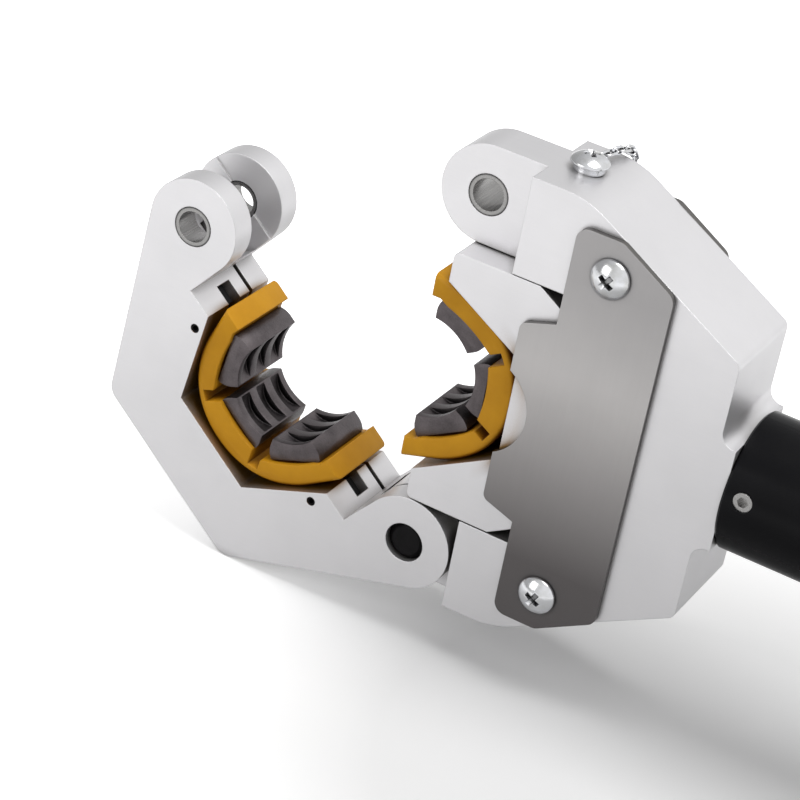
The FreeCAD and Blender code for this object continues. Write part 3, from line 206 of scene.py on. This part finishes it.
# a turned piece: a ring of points is drawn out along Z through each (height, radius)
def turnedPiece(name, steps, sides, closed=True):
    bpy.ops.object.select_all(action="DESELECT")
    height, radius = steps[0]
    bpy.ops.mesh.primitive_circle_add(vertices=sides, radius=radius, location=(0, 0, height),
                                      fill_type="NGON" if closed else "NOTHING")
    piece = settle(named(name))
    bpy.ops.object.mode_set(mode="EDIT")
    bpy.ops.mesh.select_all(action="SELECT")
    for nextHeight, nextRadius in steps[1:]:
        bpy.ops.mesh.extrude_region_move(TRANSFORM_OT_translate={"value": (0, 0, nextHeight - height)})
        if abs(nextRadius - radius) > 1e-7:
            ratio = nextRadius / radius
            bpy.ops.transform.resize(value=(ratio, ratio, 1), center_override=(0, 0, nextHeight))
        height, radius = nextHeight, nextRadius
    bpy.ops.object.mode_set(mode="OBJECT")
    cleanShell(piece)
    return piece


# finishes
# a value in a node tree that can be worked with as a number
class Signal:
    def __init__(self, tree, socket):
        self.tree, self.socket = tree, socket

    def maths(self, operation, first, second):
        node = self.tree.nodes.new("ShaderNodeMath")
        node.operation = operation
        for entry, socket in ((first, node.inputs[0]), (second, node.inputs[1])):
            if isinstance(entry, Signal):
                self.tree.links.new(entry.socket, socket)
            else:
                socket.default_value = entry
        return Signal(self.tree, node.outputs[0])

    def __add__(self, other):
        return self.maths("ADD", self, other)

    def __radd__(self, other):
        return self.maths("ADD", other, self)

    def __sub__(self, other):
        return self.maths("SUBTRACT", self, other)

    def __rsub__(self, other):
        return self.maths("SUBTRACT", other, self)

    def __mul__(self, other):
        return self.maths("MULTIPLY", self, other)

    def __rmul__(self, other):
        return self.maths("MULTIPLY", other, self)


class NodeBoard:
    def __init__(self, tree):
        self.tree = tree

    # any node: its settings first, then what its sockets hold or are linked to
    def node(self, kind, settings, sockets, output=0):
        node = self.tree.nodes.new("ShaderNode" + kind)
        for name, entry in settings.items():
            setattr(node, name, entry)
        for name, entry in sockets.items():
            if isinstance(entry, Signal):
                self.tree.links.new(entry.socket, node.inputs[name])
            else:
                node.inputs[name].default_value = entry
        return Signal(self.tree, node.outputs[output])

    # a number spread over a range where the pattern runs from low to high
    def spread(self, signal, low, high, first=0.0, last=1.0):
        sockets = {"Value": signal, "From Min": low, "From Max": high, "To Min": first, "To Max": last}
        return self.node("MapRange", {"clamp": True}, sockets)

    # the first colour where the amount is 0 and the second where it is 1
    # a Mix node has its colours in sockets 6 and 7 and gives the mixed one out of socket 2
    def blend(self, amount, first, second):
        first, second = (entry if isinstance(entry, Signal) else (*entry, 1) for entry in (first, second))
        return self.node("Mix", {"data_type": "RGBA"}, {0: amount, 6: first, 7: second}, 2)


class Finish(NodeBoard):
    def __init__(self, name, metal, **constants):
        self.material = bpy.data.materials.new(name)
        self.material.use_nodes = True
        super().__init__(self.material.node_tree)
        self.shader = self.tree.nodes["Principled BSDF"]
        self.shader.inputs["Metallic"].default_value = metal
        for socket, entry in constants.items():
            self.shader.inputs[socket.replace("_", " ")].default_value = entry

    def place(self, output="Object"):
        return self.node("TexCoord", {}, {}, output)

    def noise(self, size, detail, stretch=(1, 1, 1)):
        where = self.node("Mapping", {}, {"Vector": self.place(), "Scale": stretch})
        sockets = {"Vector": where, "Scale": 1 / size, "Detail": detail, "Roughness": 0.55}
        return self.node("TexNoise", {}, sockets)

    # 1 in the open and towards 0 where something stands closer than the distance
    def open(self, distance, alone=False):
        settings = {"samples": 8, "only_local": alone}
        return self.node("AmbientOcclusion", settings, {"Distance": distance}, "AO")

    # distance from the nearest of some axes that lie along Y
    def distanceTo(self, axes):
        nearest = None
        for axis in axes:
            away = self.node("VectorMath", {"operation": "SUBTRACT"}, {0: self.place(), 1: axis})
            away = self.node("VectorMath", {"operation": "MULTIPLY"}, {0: away, 1: (1, 0, 1)})
            away = self.node("VectorMath", {"operation": "LENGTH"}, {"Vector": away}, "Value")
            nearest = away if nearest is None else away.maths("MINIMUM", nearest, away)
        return nearest

    def feed(self, name, signal):
        self.tree.links.new(signal.socket, self.shader.inputs[name])

    # height in millimetres over the surface, with the sharp edges of the solid eased by a small radius
    def relief(self, height, strength, edge=0.0):
        sockets = {"Height": height, "Strength": strength, "Distance": 0.001}
        if edge:
            sockets["Normal"] = self.node("Bevel", {"samples": 6}, {"Radius": edge})
        self.feed("Normal", self.node("Bump", {}, sockets))


def machinedAluminium():
    look = {"colour": (0.72, 0.712, 0.725), "worn": (0.60, 0.595, 0.605), "hollow": (0.12, 0.11, 0.10),
            "shade": (0.1, 0.75), "pocket": (0.21, 0.105, 0.012), "pocketShade": (0.55, 1.0),
            "pocketReach": (0.0335, 0.0365), "edge": 0.0004}
    finish = Finish("machinedAluminium", 0.75)
    clouds = finish.noise(0.035, 3)
    grain = finish.noise(0.0006, 2)
    strokes = finish.noise(0.0009, 3, stretch=(0.03, 1, 1))
    mottle = finish.spread(clouds, 0.35, 0.7)
    tone = finish.blend(mottle * 0.35 + strokes * 0.15, look["colour"], look["worn"])
    # painted reflection and painted shade: near the die centres the die pocket walls are painted towards the
    # urethane's orange where something stands close
    near = finish.distanceTo([swungOpen.translation, holderCentre.translation])
    outside = finish.spread(near, *look["pocketReach"])
    hollow = finish.blend(outside, look["pocket"], look["hollow"])
    # painted shade: away from the dies the colour darkens towards the hollow colour where other surfaces
    # stand within 7 mm
    free = finish.open(0.007)
    lit = (finish.spread(free, *look["shade"]) * outside
           + finish.spread(free, *look["pocketShade"]) * (1 - outside))
    finish.feed("Base Color", finish.blend(lit, hollow, tone))
    finish.feed("Roughness", 0.30 + clouds * 0.10 + grain * 0.08)
    finish.relief(grain * 0.6 + strokes * 0.5, 0.035, look["edge"])
    return finish.material


# the plate is painted with the reflection of a dim room towards its lower end and painted dimmer towards its
# top, and its cut edges are painted dark as shade
def rolledPlate():
    look = {"colour": (0.46, 0.445, 0.44), "dark": (0.37, 0.36, 0.355), "paintedDarkReflection": (0.12, 0.112, 0.112),
            "paintedDarkReflectionHeights": (-0.045, 0.02), "paintedDimReflection": (0.30, 0.292, 0.292), "paintedDimReflectionHeights": (0.015, 0.05),
            "cut": (0.13, 0.125, 0.12), "hollow": (0.03, 0.03, 0.03), "edge": 0.0003}
    finish = Finish("rolledPlate", 1.0)
    strokes = finish.noise(0.0007, 4, stretch=(1, 1, 0.02))
    clouds = finish.noise(0.02, 4)
    tone = finish.blend(strokes * 0.2 + clouds * 0.5, look["colour"], look["dark"])
    height = finish.node("SeparateXYZ", {}, {"Vector": finish.place()}, "Z")
    # painted reflection: the colour darkens towards the lower end and, less, towards the top, by height
    tone = finish.blend(finish.spread(height, *look["paintedDarkReflectionHeights"]), look["paintedDarkReflection"], tone)
    tone = finish.blend(finish.spread(height, *look["paintedDimReflectionHeights"]), tone, look["paintedDimReflection"])
    # painted shade: the edge faces, those not facing along Y, take a dark colour
    facing = finish.node("SeparateXYZ", {}, {"Vector": finish.place("Normal")}, "Y")
    tone = finish.blend(facing.maths("GREATER_THAN", facing * facing, 0.4), look["cut"], tone)
    # painted shade: darker towards the hollow colour where other surfaces stand within 3 mm
    free = finish.spread(finish.open(0.003), 0.2, 0.9)
    finish.feed("Base Color", finish.blend(free, look["hollow"], tone))
    finish.feed("Roughness", 0.26 + strokes * 0.06 + clouds * 0.16)
    finish.relief(strokes, 0.025, look["edge"])
    return finish.material


def brightZinc():
    look = {"colour": (0.66, 0.67, 0.70), "dull": (0.50, 0.50, 0.49), "hollow": (0.03, 0.03, 0.03)}
    finish = Finish("brightZinc", 1.0)
    clouds = finish.noise(0.004, 3)
    tone = finish.blend(finish.spread(clouds, 0.3, 0.8), look["colour"], look["dull"])
    # painted shade: the cross recesses and other close corners of a piece darken towards the hollow colour
    free = finish.spread(finish.open(0.003, True), 0.3, 0.75)
    finish.feed("Base Color", finish.blend(free, look["hollow"], tone))
    finish.feed("Roughness", 0.10 + clouds * 0.14)
    finish.relief(finish.noise(0.0012, 2), 0.03, 0.00015)
    return finish.material


# steel pins and rods, and pressed bushes whose chamfered rim is painted dark as shade
def groundSteel(name, bushAxes=()):
    look = {"colour": (0.42, 0.415, 0.41), "dark": (0.26, 0.255, 0.25), "oiled": (0.12, 0.118, 0.116),
            "rim": (0.03, 0.03, 0.03), "paintedRimShadeReach": (0.0059, 0.0064)}
    finish = Finish(name, 1.0)
    rings = finish.noise(0.0005, 2, stretch=(1, 0.05, 1))
    tone = finish.blend(rings, look["colour"], look["dark"])
    if bushAxes:
        tone = finish.blend(0.35, tone, look["oiled"])
        # painted shade: a dark ring at the bush's chamfered rim, set by its distance from the bush axes
        rim = finish.spread(finish.distanceTo(bushAxes), *look["paintedRimShadeReach"])
        tone = finish.blend(rim, tone, look["rim"])
    finish.feed("Base Color", tone)
    finish.feed("Roughness", 0.20 + rings * 0.16)
    finish.relief(rings, 0.04, 0.0002)
    return finish.material


def sinteredSteel():
    look = {"colour": (0.042, 0.036, 0.038), "pale": (0.165, 0.145, 0.150),
            "hollow": (0.003, 0.003, 0.003)}
    finish = Finish("sinteredSteel", 0.88)
    grain = finish.noise(0.0005, 3)
    clouds = finish.noise(0.007, 4)
    mottle = finish.spread(clouds, 0.3, 0.75)
    tone = finish.blend(mottle * 0.5 + grain * 0.5, look["colour"], look["pale"])
    # painted shade: the flutes and other hollows of a segment darken towards the hollow colour
    free = finish.spread(finish.open(0.005, True), 0.58, 0.86)
    finish.feed("Base Color", finish.blend(free, look["hollow"], tone))
    finish.feed("Roughness", 0.26 + clouds * 0.16 + grain * 0.10)
    finish.relief(grain * 1.6 + clouds * 0.4, 0.12)
    return finish.material


def orangeUrethane():
    look = {"colour": (0.76, 0.365, 0.015), "deep": (0.64, 0.295, 0.012),
            "hollow": (0.10, 0.026, 0.003)}
    finish = Finish("orangeUrethane", 0.0, Specular_IOR_Level=0.22)
    clouds = finish.noise(0.012, 3)
    grain = finish.noise(0.0008, 2)
    tone = finish.blend(finish.spread(clouds, 0.3, 0.75), look["colour"], look["deep"])
    # painted shade: darker towards the hollow colour where other surfaces stand within 8 mm, as in the gaps
    # of the die pockets
    free = finish.spread(finish.open(0.008), 0.22, 0.68)
    finish.feed("Base Color", finish.blend(free, look["hollow"], tone))
    finish.feed("Roughness", 0.36 + clouds * 0.14)
    finish.relief(grain + clouds, 0.05, 0.0008)
    return finish.material


def glossBlack():
    look = {"colour": (0.005, 0.005, 0.006), "dusty": (0.009, 0.009, 0.010)}
    finish = Finish("glossBlack", 0.0, Specular_IOR_Level=0.06, Coat_Roughness=0.1)
    clouds = finish.noise(0.02, 3)
    peel = finish.noise(0.0025, 2)
    finish.feed("Base Color", finish.blend(clouds, look["colour"], look["dusty"]))
    finish.feed("Roughness", 0.20 + clouds * 0.10)
    finish.feed("Coat Weight", clouds * 0.03)
    finish.relief(peel, 0.03, 0.0005)
    return finish.material


def blackOxide():
    look = {"colour": (0.002, 0.002, 0.002), "worn": (0.007, 0.006, 0.007)}
    finish = Finish("blackOxide", 0.2, Specular_IOR_Level=0.12)
    clouds = finish.noise(0.004, 3)
    finish.feed("Base Color", finish.blend(clouds, look["colour"], look["worn"]))
    finish.feed("Roughness", 0.32 + clouds * 0.2)
    finish.relief(finish.noise(0.0005, 2), 0.05, 0.0002)
    return finish.material


def mouldedBlack():
    look = {"colour": (0.008, 0.008, 0.009), "rubbed": (0.014, 0.014, 0.015)}
    finish = Finish("mouldedBlack", 0.0, Specular_IOR_Level=0.2)
    grain = finish.noise(0.0006, 2)
    finish.feed("Base Color", finish.blend(finish.noise(0.01, 3), look["colour"], look["rubbed"]))
    finish.feed("Roughness", 0.42 + grain * 0.2)
    finish.relief(grain, 0.08, 0.0003)
    return finish.material


def gripRubber():
    look = {"colour": (0.016, 0.016, 0.017), "rubbed": (0.034, 0.034, 0.035), "pebbles": 900.0}
    finish = Finish("gripRubber", 0.0)
    sockets = {"Vector": finish.place(), "Scale": look["pebbles"]}
    pebble = finish.node("TexVoronoi", {"feature": "F1"}, sockets)
    clouds = finish.noise(0.02, 3)
    finish.feed("Base Color", finish.blend(clouds, look["colour"], look["rubbed"]))
    finish.feed("Roughness", 0.52 + clouds * 0.2)
    finish.relief(pebble, 0.12)
    return finish.material


def turnedBrass():
    look = {"colour": (0.70, 0.50, 0.22), "dark": (0.52, 0.36, 0.15)}
    finish = Finish("turnedBrass", 1.0)
    rings = finish.noise(0.0006, 2)
    finish.feed("Base Color", finish.blend(rings, look["colour"], look["dark"]))
    finish.feed("Roughness", 0.22 + rings * 0.15)
    finish.relief(rings, 0.04, 0.0002)
    return finish.material


bushAxes = ((-0.07708, 0, 0.01592), (0.0132, 0, 0.0585), (0.0132, 0, -0.0585))
finishes = {
    "aluminium": machinedAluminium(), "plate": rolledPlate(), "zinc": brightZinc(),
    "steel": groundSteel("groundSteel"), "bush": groundSteel("bushSteel", bushAxes),
    "sintered": sinteredSteel(), "urethane": orangeUrethane(), "gloss": glossBlack(),
    "oxide": blackOxide(), "plastic": mouldedBlack(), "rubber": gripRubber(), "brass": turnedBrass(),
}
finishOfNode = {
    "aluminium": ["head_frame", "swing_jaw", "die_holder"],
    "plate": ["near_guide_plate", "far_guide_plate"],
    "zinc": ["guide_plate_screws", "chain_screw", "chain_washers", "chain_tag", "anchor_chain",
             "hanging_chain", "piston_nut", "inlet_valve", "outlet_valve", "relief_valve"],
    "bush": ["upper_lug_bush", "lower_lug_bush", "jaw_ear_bushes"],
    "steel": ["barrel_set_screw", "locking_pin", "ram_rod", "piston", "return_spring",
              "lever_pivot_pin", "plunger_cross_pin", "pump_plunger", "release_valve_stem"],
    "sintered": ["jaw_middle_segment", "jaw_upper_segment", "jaw_lower_segment",
                 "holder_middle_segment", "holder_upper_segment", "holder_lower_segment"],
    "urethane": ["jaw_die_carrier", "holder_die_carrier"],
    "gloss": ["barrel", "pump_block", "reservoir_tube", "lever_fork", "lever_tube"],
    "oxide": ["hinge_pin", "jaw_roll_pins"],
    "plastic": ["jaw_die_catches", "holder_die_catches", "handle_end_cap", "release_valve_knob"],
    "rubber": ["piston_seal", "rod_wiper", "plunger_seal", "oil_bladder", "handle_grip",
               "lever_grip"],
    "brass": ["filler_plug", "plunger_gland"],
}


def paint(piece, finish):
    piece.data.materials.clear()
    piece.data.materials.append(finishes[finish])


for finishName, nodeNames in finishOfNode.items():
    for nodeName in nodeNames:
        paint(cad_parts[nodeName], finishName)
print("finishes made")


# die halves, drawn round a die centre at the origin and facing -X, as the holder's half stands
# a bed is a facet of a hexagon, and the beds of the side segments are turned either way
bedTurn = 60
cutterReach = 0.03  # past both sides of a die half


def makeCarrier():
    size = {"back": 0.0296, "half": 0.015, "wrap": math.radians(72.8), "run": 0.0126, "ends": -0.0029,
            "bed": 0.0212, "midBed": 0.0195, "hollow": 0.0009, "hollowRadius": 0.045, "hollowHalf": 0.0093,
            "notchFrom": 0.02, "notchBack": 0.0271, "notchHalf": 0.0019, "rimRound": 0.0017,
            "round": 0.0005, "sides": 160, "hollowSides": 256}
    carrier = barAlongY("dieCarrier", 0, 0, size["back"], -size["half"], size["half"], size["sides"])
    for side in (1, -1):  # the round back runs on straight from the wrap angle
        along = Vector((-math.sin(size["wrap"]), 0, side * math.cos(size["wrap"])))
        planeCut(carrier, (0, 0, 0), along, drop=True)
        editFaces(carrier, lambda centre, normal: normal.dot(along) > 0.99
                  and abs(centre.dot(along)) < hair)
        bpy.ops.mesh.extrude_region_move(TRANSFORM_OT_translate={"value": along * size["run"]})
        bpy.ops.object.mode_set(mode="OBJECT")
    planeCut(carrier, (size["ends"], 0, 0), (-1, 0, 0), drop=True)
    cleanShell(carrier)
    onBack = size["back"] - 2e-4
    editEdges(carrier, lambda first, second: abs(first.y - second.y) < 1e-6
              and min(math.hypot(first.x, first.z), math.hypot(second.x, second.z)) > onBack)
    bpy.ops.mesh.bevel(offset=size["rimRound"], segments=5)
    bpy.ops.object.mode_set(mode="OBJECT")
    reach = size["bed"] / math.cos(math.radians(bedTurn / 2))
    bed = barAlongY("bedCutter", 0, 0, reach, -cutterReach, cutterReach, 6)
    planeCut(bed, (size["midBed"], 0, 0), (1, 0, 0), drop=True)
    carve(carrier, bed)
    carve(carrier, block("armCutter", (-0.02, -cutterReach, -reach), (0.0001, cutterReach, reach)))
    for angle, depth in ((0, size["midBed"]), (bedTurn, size["bed"]), (-bedTurn, size["bed"])):
        hollow = barAlongY("hollowCutter", depth + size["hollow"] - size["hollowRadius"], 0,
                           size["hollowRadius"], -cutterReach, cutterReach, size["hollowSides"])
        room = block("hollowRoom", (depth - 0.002, -0.04, -size["hollowHalf"]),
                     (0.03, 0.04, size["hollowHalf"]))
        carve(hollow, room, "INTERSECT")
        hollow.data.transform(Matrix.Rotation(math.radians(-angle), 4, "Y"))
        carve(carrier, hollow)
    for angle in (bedTurn / 2, -bedTurn / 2):
        notch = block("notchCutter", (size["notchFrom"], -cutterReach, -size["notchHalf"]),
                      (size["notchBack"], cutterReach, size["notchHalf"]))
        notch.data.transform(Matrix.Rotation(math.radians(-angle), 4, "Y"))
        carve(carrier, notch)
    cleanShell(carrier)
    easeEdges(carrier, size["round"], 3)
    return carrier


def makeSegment(base):
    size = {"cheek": 0.0178, "corner": 0.0141, "half": 0.00925, "faceHalf": 0.0071, "wide": 0.0135,
            "faceRadius": 0.017, "middle": 0.0157, "fluteRadius": 0.0079, "fluteMiddle": 0.0180,
            "flutes": (-0.0086, 0, 0.0086), "fluteHalf": 0.00245, "slant": 0.0004, "bend": 0.0016,
            "heel": 0.0009, "round": 0.00028, "sides": 160, "fluteSides": 128}
    segment = block("dieSegment", (size["corner"], -size["wide"], -size["half"]),
                    (base, size["wide"], size["half"]))
    planeCut(segment, (size["cheek"], 0, 0), (1, 0, 0))
    editVerts(segment, lambda place: place.x < size["corner"] + hair)
    narrowing = (1, 1, size["faceHalf"] / size["half"])
    bpy.ops.transform.resize(value=narrowing, center_override=(size["corner"], 0, 0))
    bpy.ops.object.mode_set(mode="OBJECT")
    for x, width in ((size["cheek"], size["bend"]), (base, size["heel"])):
        editEdges(segment, lambda first, second: abs(first.y - second.y) > size["wide"]
                  and abs(first.x - x) < hair)
        bpy.ops.mesh.bevel(offset=width, segments=5)
        bpy.ops.object.mode_set(mode="OBJECT")
    at = size["middle"] - size["faceRadius"]
    face = barAlongY("faceCutter", at, 0, size["faceRadius"], -cutterReach, cutterReach, size["sides"])
    carve(segment, face)
    at = size["fluteMiddle"] - size["fluteRadius"]
    for place in size["flutes"]:
        low, high = place - size["fluteHalf"], place + size["fluteHalf"]
        flute = barAlongY("fluteCutter", at, 0, size["fluteRadius"], low, high, size["fluteSides"])
        finishWith(flute, "BEVEL", width=size["slant"], segments=3, limit_method="ANGLE",
                   angle_limit=math.radians(60))
        carve(segment, flute)
    cleanShell(segment)
    easeEdges(segment, size["round"], 2, 30)
    return segment


carrier = makeCarrier()
segments = {"middle": makeSegment(0.0195), "outer": makeSegment(0.0212)}
# each die half: its body, its place, and a squash axis and anchor for its carrier, which in the tool is
# squeezed towards the back of its pocket as the ram closes
dieHalves = {
    "holder": {"body": "ram", "place": holderCentre, "squashAxis": Vector((1, 0, 0)),
               "anchor": Vector((0.0375, 0, 0))},
    "jaw": {"body": "jaw", "place": swungOpen @ halfTurn,
            "squashAxis": swungOpen.to_3x3() @ Vector((1, 0, 0)),
            "anchor": swungOpen @ Vector((-0.0296, 0, 0))},
}
segmentSpots = {"middle": (0, 0), "upper": (bedTurn, 0.0023), "lower": (-bedTurn, -0.0023)}
for half, facts in dieHalves.items():
    pad = copyOf(carrier, half + "CarrierPad", facts["place"])
    paint(pad, "urethane")
    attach(pad, facts["body"])
    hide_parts(half + "_die_carrier")
    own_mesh(pad)
    for tag, (angle, shift) in segmentSpots.items():
        spun = Matrix.Rotation(math.radians(-angle), 4, "Y") @ Matrix.Translation((0, 0, shift))
        pattern = segments["middle" if tag == "middle" else "outer"]
        die = copyOf(pattern, half + tag.capitalize() + "Die", facts["place"] @ spun)
        paint(die, "sintered")
        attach(die, facts["body"] if tag == "middle" else f"{half}_{tag}_die")
        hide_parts(f"{half}_{tag}_segment")
for spare in (carrier, *segments.values()):
    bpy.data.objects.remove(spare, do_unlink=True)
print("die halves made")


# screws
def makePanScrew():
    size = {"radius": 0.0062, "foot": 0.0003, "rim": 0.0009, "tall": 0.0040, "shank": 0.0025, "long": 0.006,
            "crossHalf": 0.0033, "crossWide": 0.0019, "crossTaper": (0.42, 0.62, 1), "deep": 0.0028,
            "dome": 0.8, "round": 0.00012, "sides": 72}
    steps = [(-size["long"], size["shank"]), (0, size["shank"]), (hair, size["radius"] - size["foot"]),
             (size["foot"], size["radius"]), (size["rim"], size["radius"])]
    for share in (0.97, 0.92, 0.85, 0.77, 0.68, 0.58, 0.47, 0.35, 0.22, 0.08):
        rise = (size["tall"] - size["rim"]) * (1 - share ** 2) ** size["dome"]
        steps.append((size["rim"] + rise, size["radius"] * share))
    screw = turnedPiece("panScrew", steps, size["sides"])
    for quarter in (0, 90):
        bar = block("crossCutter", (-size["crossHalf"], -size["crossWide"] / 2, size["tall"] - size["deep"]),
                    (size["crossHalf"], size["crossWide"] / 2, size["tall"] + 0.001))
        editVerts(bar, lambda place: place.z < size["tall"])
        bpy.ops.transform.resize(value=size["crossTaper"], center_override=(0, 0, 0))
        bpy.ops.object.mode_set(mode="OBJECT")
        bar.data.transform(Matrix.Rotation(math.radians(quarter), 4, "Z"))
        carve(screw, bar)
    cleanShell(screw)
    easeEdges(screw, size["round"], 2, 35)
    return screw


panScrew = makePanScrew()
plateScrews = {"x": 0.0604, "z": 0.0543, "face": 0.020,
               "turns": {(-1, 1): 55, (-1, -1): -28, (1, 1): 40, (1, -1): 5}}
chainScrew = {"spot": (0.0390, 0, 0.0762), "turn": 38, "scale": (0.96, 0.96, 0.85, 1)}
screwPlaces = []
for (side, up), turn in plateScrews["turns"].items():
    name = f"plateScrew{'Near' if side < 0 else 'Far'}{'Upper' if up > 0 else 'Lower'}"
    spot = Matrix.Translation((plateScrews["x"], side * plateScrews["face"], up * plateScrews["z"]))
    outward = (Matrix.Rotation(math.radians(90 * -side), 4, "X")
               @ Matrix.Rotation(math.radians(turn), 4, "Z"))
    screwPlaces.append((name, "guide_plate_screws", spot @ outward))
upright = Matrix.Rotation(math.radians(chainScrew["turn"]), 4, "Z") @ Matrix.Diagonal(chainScrew["scale"])
screwPlaces.append(("chainScrewHead", "chain_screw", Matrix.Translation(chainScrew["spot"]) @ upright))
for name, node, matrix in screwPlaces:
    screw = copyOf(panScrew, name, matrix)
    paint(screw, "zinc")
    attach(screw, "yoke")
    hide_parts(node)
bpy.data.objects.remove(panScrew, do_unlink=True)
print("screws made")


# grips, with a profile drawn as (along, in) from the low end, each groove's start and the high end
gripProfile = {"low": ((0, 0.0022), (0.001, 0.0008), (0.003, 0)),
               "groove": ((0, 0), (0.0008, 0.0006), (0.0016, 0.0011), (0.0030, 0.0011), (0.0038, 0.0006),
                          (0.0046, 0)),
               "high": ((-0.004, 0), (-0.0012, 0.0009), (0, 0.003)),
               "gap": 0.00005, "cap": 0.004, "pitch": 0.008, "plainEnd": 1.6, "sides": 96, "smooth": 50}


def makeGrip(name, size):
    inner, outer = size["inner"] + gripProfile["gap"], size["inner"] + size["wall"]
    low, high, pitch = size["low"], size["high"], gripProfile["pitch"]
    steps = [(low, inner)]
    steps += [(low + along, outer - depth) for along, depth in gripProfile["low"]]
    place = low + pitch
    while place < high - gripProfile["plainEnd"] * pitch:
        steps += [(place + along, outer - depth) for along, depth in gripProfile["groove"]]
        place += pitch
    steps += [(high + along, outer - depth) for along, depth in gripProfile["high"]]
    steps.append((high + hair, gripProfile["cap"]) if size["closed"] else (high, inner))
    grip = turnedPiece(name, steps, gripProfile["sides"], closed=False)
    if size["closed"]:
        nearMiddle = 1.1 * gripProfile["cap"]
        editVerts(grip, lambda place: place.z > high and place.to_2d().length < nearMiddle)
        bpy.ops.mesh.fill()
        bpy.ops.object.mode_set(mode="OBJECT")
        cleanShell(grip)
    grip.data.transform(size["set"])
    pick(grip)
    bpy.ops.object.shade_smooth_by_angle(angle=math.radians(gripProfile["smooth"]))
    return grip


grips = {
    "handleSleeve": {"body": "yoke", "node": "handle_grip", "inner": 0.019, "wall": 0.0032,
                     "low": 0.298, "high": 0.418, "closed": False,
                     "set": Matrix.Rotation(math.radians(90), 4, "Y")},
    "leverSleeve": {"body": "pump_lever", "node": "lever_grip", "inner": 0.011, "wall": 0.0032,
                    "low": 0.086, "high": 0.186, "closed": True,
                    "set": Matrix.Translation((0.268, 0, 0.041)) @ Matrix.Rotation(math.radians(82), 4, "Y")},
}
for name, size in grips.items():
    grip = makeGrip(name, size)
    paint(grip, "rubber")
    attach(grip, size["body"])
    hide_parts(size["node"])
print("grips made")


# the return spring goes with the yoke, where its front end stays; in the tool the piston squeezes it
spring = bpy.data.objects.new("returnSpring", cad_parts["return_spring"].data.copy())
bpy.context.scene.collection.objects.link(spring)
cleanShell(spring)
paint(spring, "steel")
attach(spring, "yoke")
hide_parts("return_spring")
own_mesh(spring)
print("return spring made")


# floor, light and air
# the floor looks pale to the camera and in part to metal, and sends little light up onto the tool; away from
# the tool it glows white to the camera and in metal's reflections, though it is no lamp
studio = {"floorDrop": 0.0002, "floorSize": 8, "middle": (0.12, -0.03), "floorColour": (0.90, 0.90, 0.90),
          "paleColour": (0.92, 0.92, 0.92), "bounceColour": (0.36, 0.36, 0.36), "mirrored": 0.6,
          "floorGlow": (0.04, 1.3), "floorGlowFrom": (0.09, 0.36), "world": 0.32, "tent": (0.8, 0.95),
          "tentEnds": (0.30, 1.2), "aim": (0.05, 0, 0),
          "lamps": [("key", (-0.33, -0.62, 0.34), 0.45, 1.6), ("top", (0.35, -0.05, 1.00), 0.6, 6.6)]}
bpy.ops.object.select_all(action="DESELECT")
floorHeight = cadBox[0][2] - studio["floorDrop"]
bpy.ops.mesh.primitive_plane_add(size=studio["floorSize"], location=(*studio["middle"], floorHeight))
floor = named("floor")
floorFinish = Finish("paleFloor", 0.0, Roughness=0.6, Emission_Strength=1.0)
floorTone = floorFinish.blend(floorFinish.noise(0.4, 2), studio["floorColour"], studio["paleColour"])
inMetal = floorFinish.node("LightPath", {}, {}, "Is Glossy Ray")
seenHere = floorFinish.node("LightPath", {}, {}, "Is Camera Ray") + inMetal * studio["mirrored"]
floorFinish.feed("Base Color", floorFinish.blend(seenHere, studio["bounceColour"], floorTone))
away = floorFinish.node("VectorMath", {"operation": "LENGTH"}, {"Vector": floorFinish.place()}, "Value")
floorGlow = floorFinish.spread(away, *studio["floorGlowFrom"], *studio["floorGlow"]) * seenHere
floorFinish.feed("Emission Color", floorFinish.blend(floorGlow, (0, 0, 0), (1, 1, 1)))
floor.data.materials.append(floorFinish.material)

for lampName, place, lampSize, power in studio["lamps"]:
    lamp = bpy.data.lights.new(lampName, "AREA")
    lamp.size, lamp.energy = lampSize, power
    lampStand = bpy.data.objects.new(lampName, lamp)
    lampStand.location = place
    lampStand.rotation_euler = (Vector(studio["aim"]) - Vector(place)).to_track_quat("-Z", "Y").to_euler()
    bpy.context.scene.collection.objects.link(lampStand)

# the air is white to the camera, and in metal a tent, white towards the handle and grey on the jaw's side
air = bpy.data.worlds.new("studioAir")
bpy.context.scene.world = air
air.use_nodes = True
sky = NodeBoard(air.node_tree)
direct = sky.node("LightPath", {}, {}, "Is Camera Ray")
shiny = sky.node("LightPath", {}, {}, "Is Glossy Ray")
through = sky.node("LightPath", {}, {}, "Is Transmission Ray")
across = sky.node("SeparateXYZ", {}, {"Vector": sky.node("TexCoord", {}, {}, "Generated")}, "X")
slope, level = studio["tent"]
dimmest, brightest = studio["tentEnds"]
tent = across.maths("MAXIMUM", across * slope + level, dimmest)
tent = tent.maths("MINIMUM", tent, brightest)
white = direct + (shiny + through) * tent
backdrop = air.node_tree.nodes["Background"]
backdrop.inputs["Color"].default_value = (1, 1, 1, 1)
strength = white * (1 - studio["world"]) + studio["world"]
air.node_tree.links.new(strength.socket, backdrop.inputs["Strength"])
bpy.context.scene.view_settings.view_transform = "Standard"
print("studio lit")
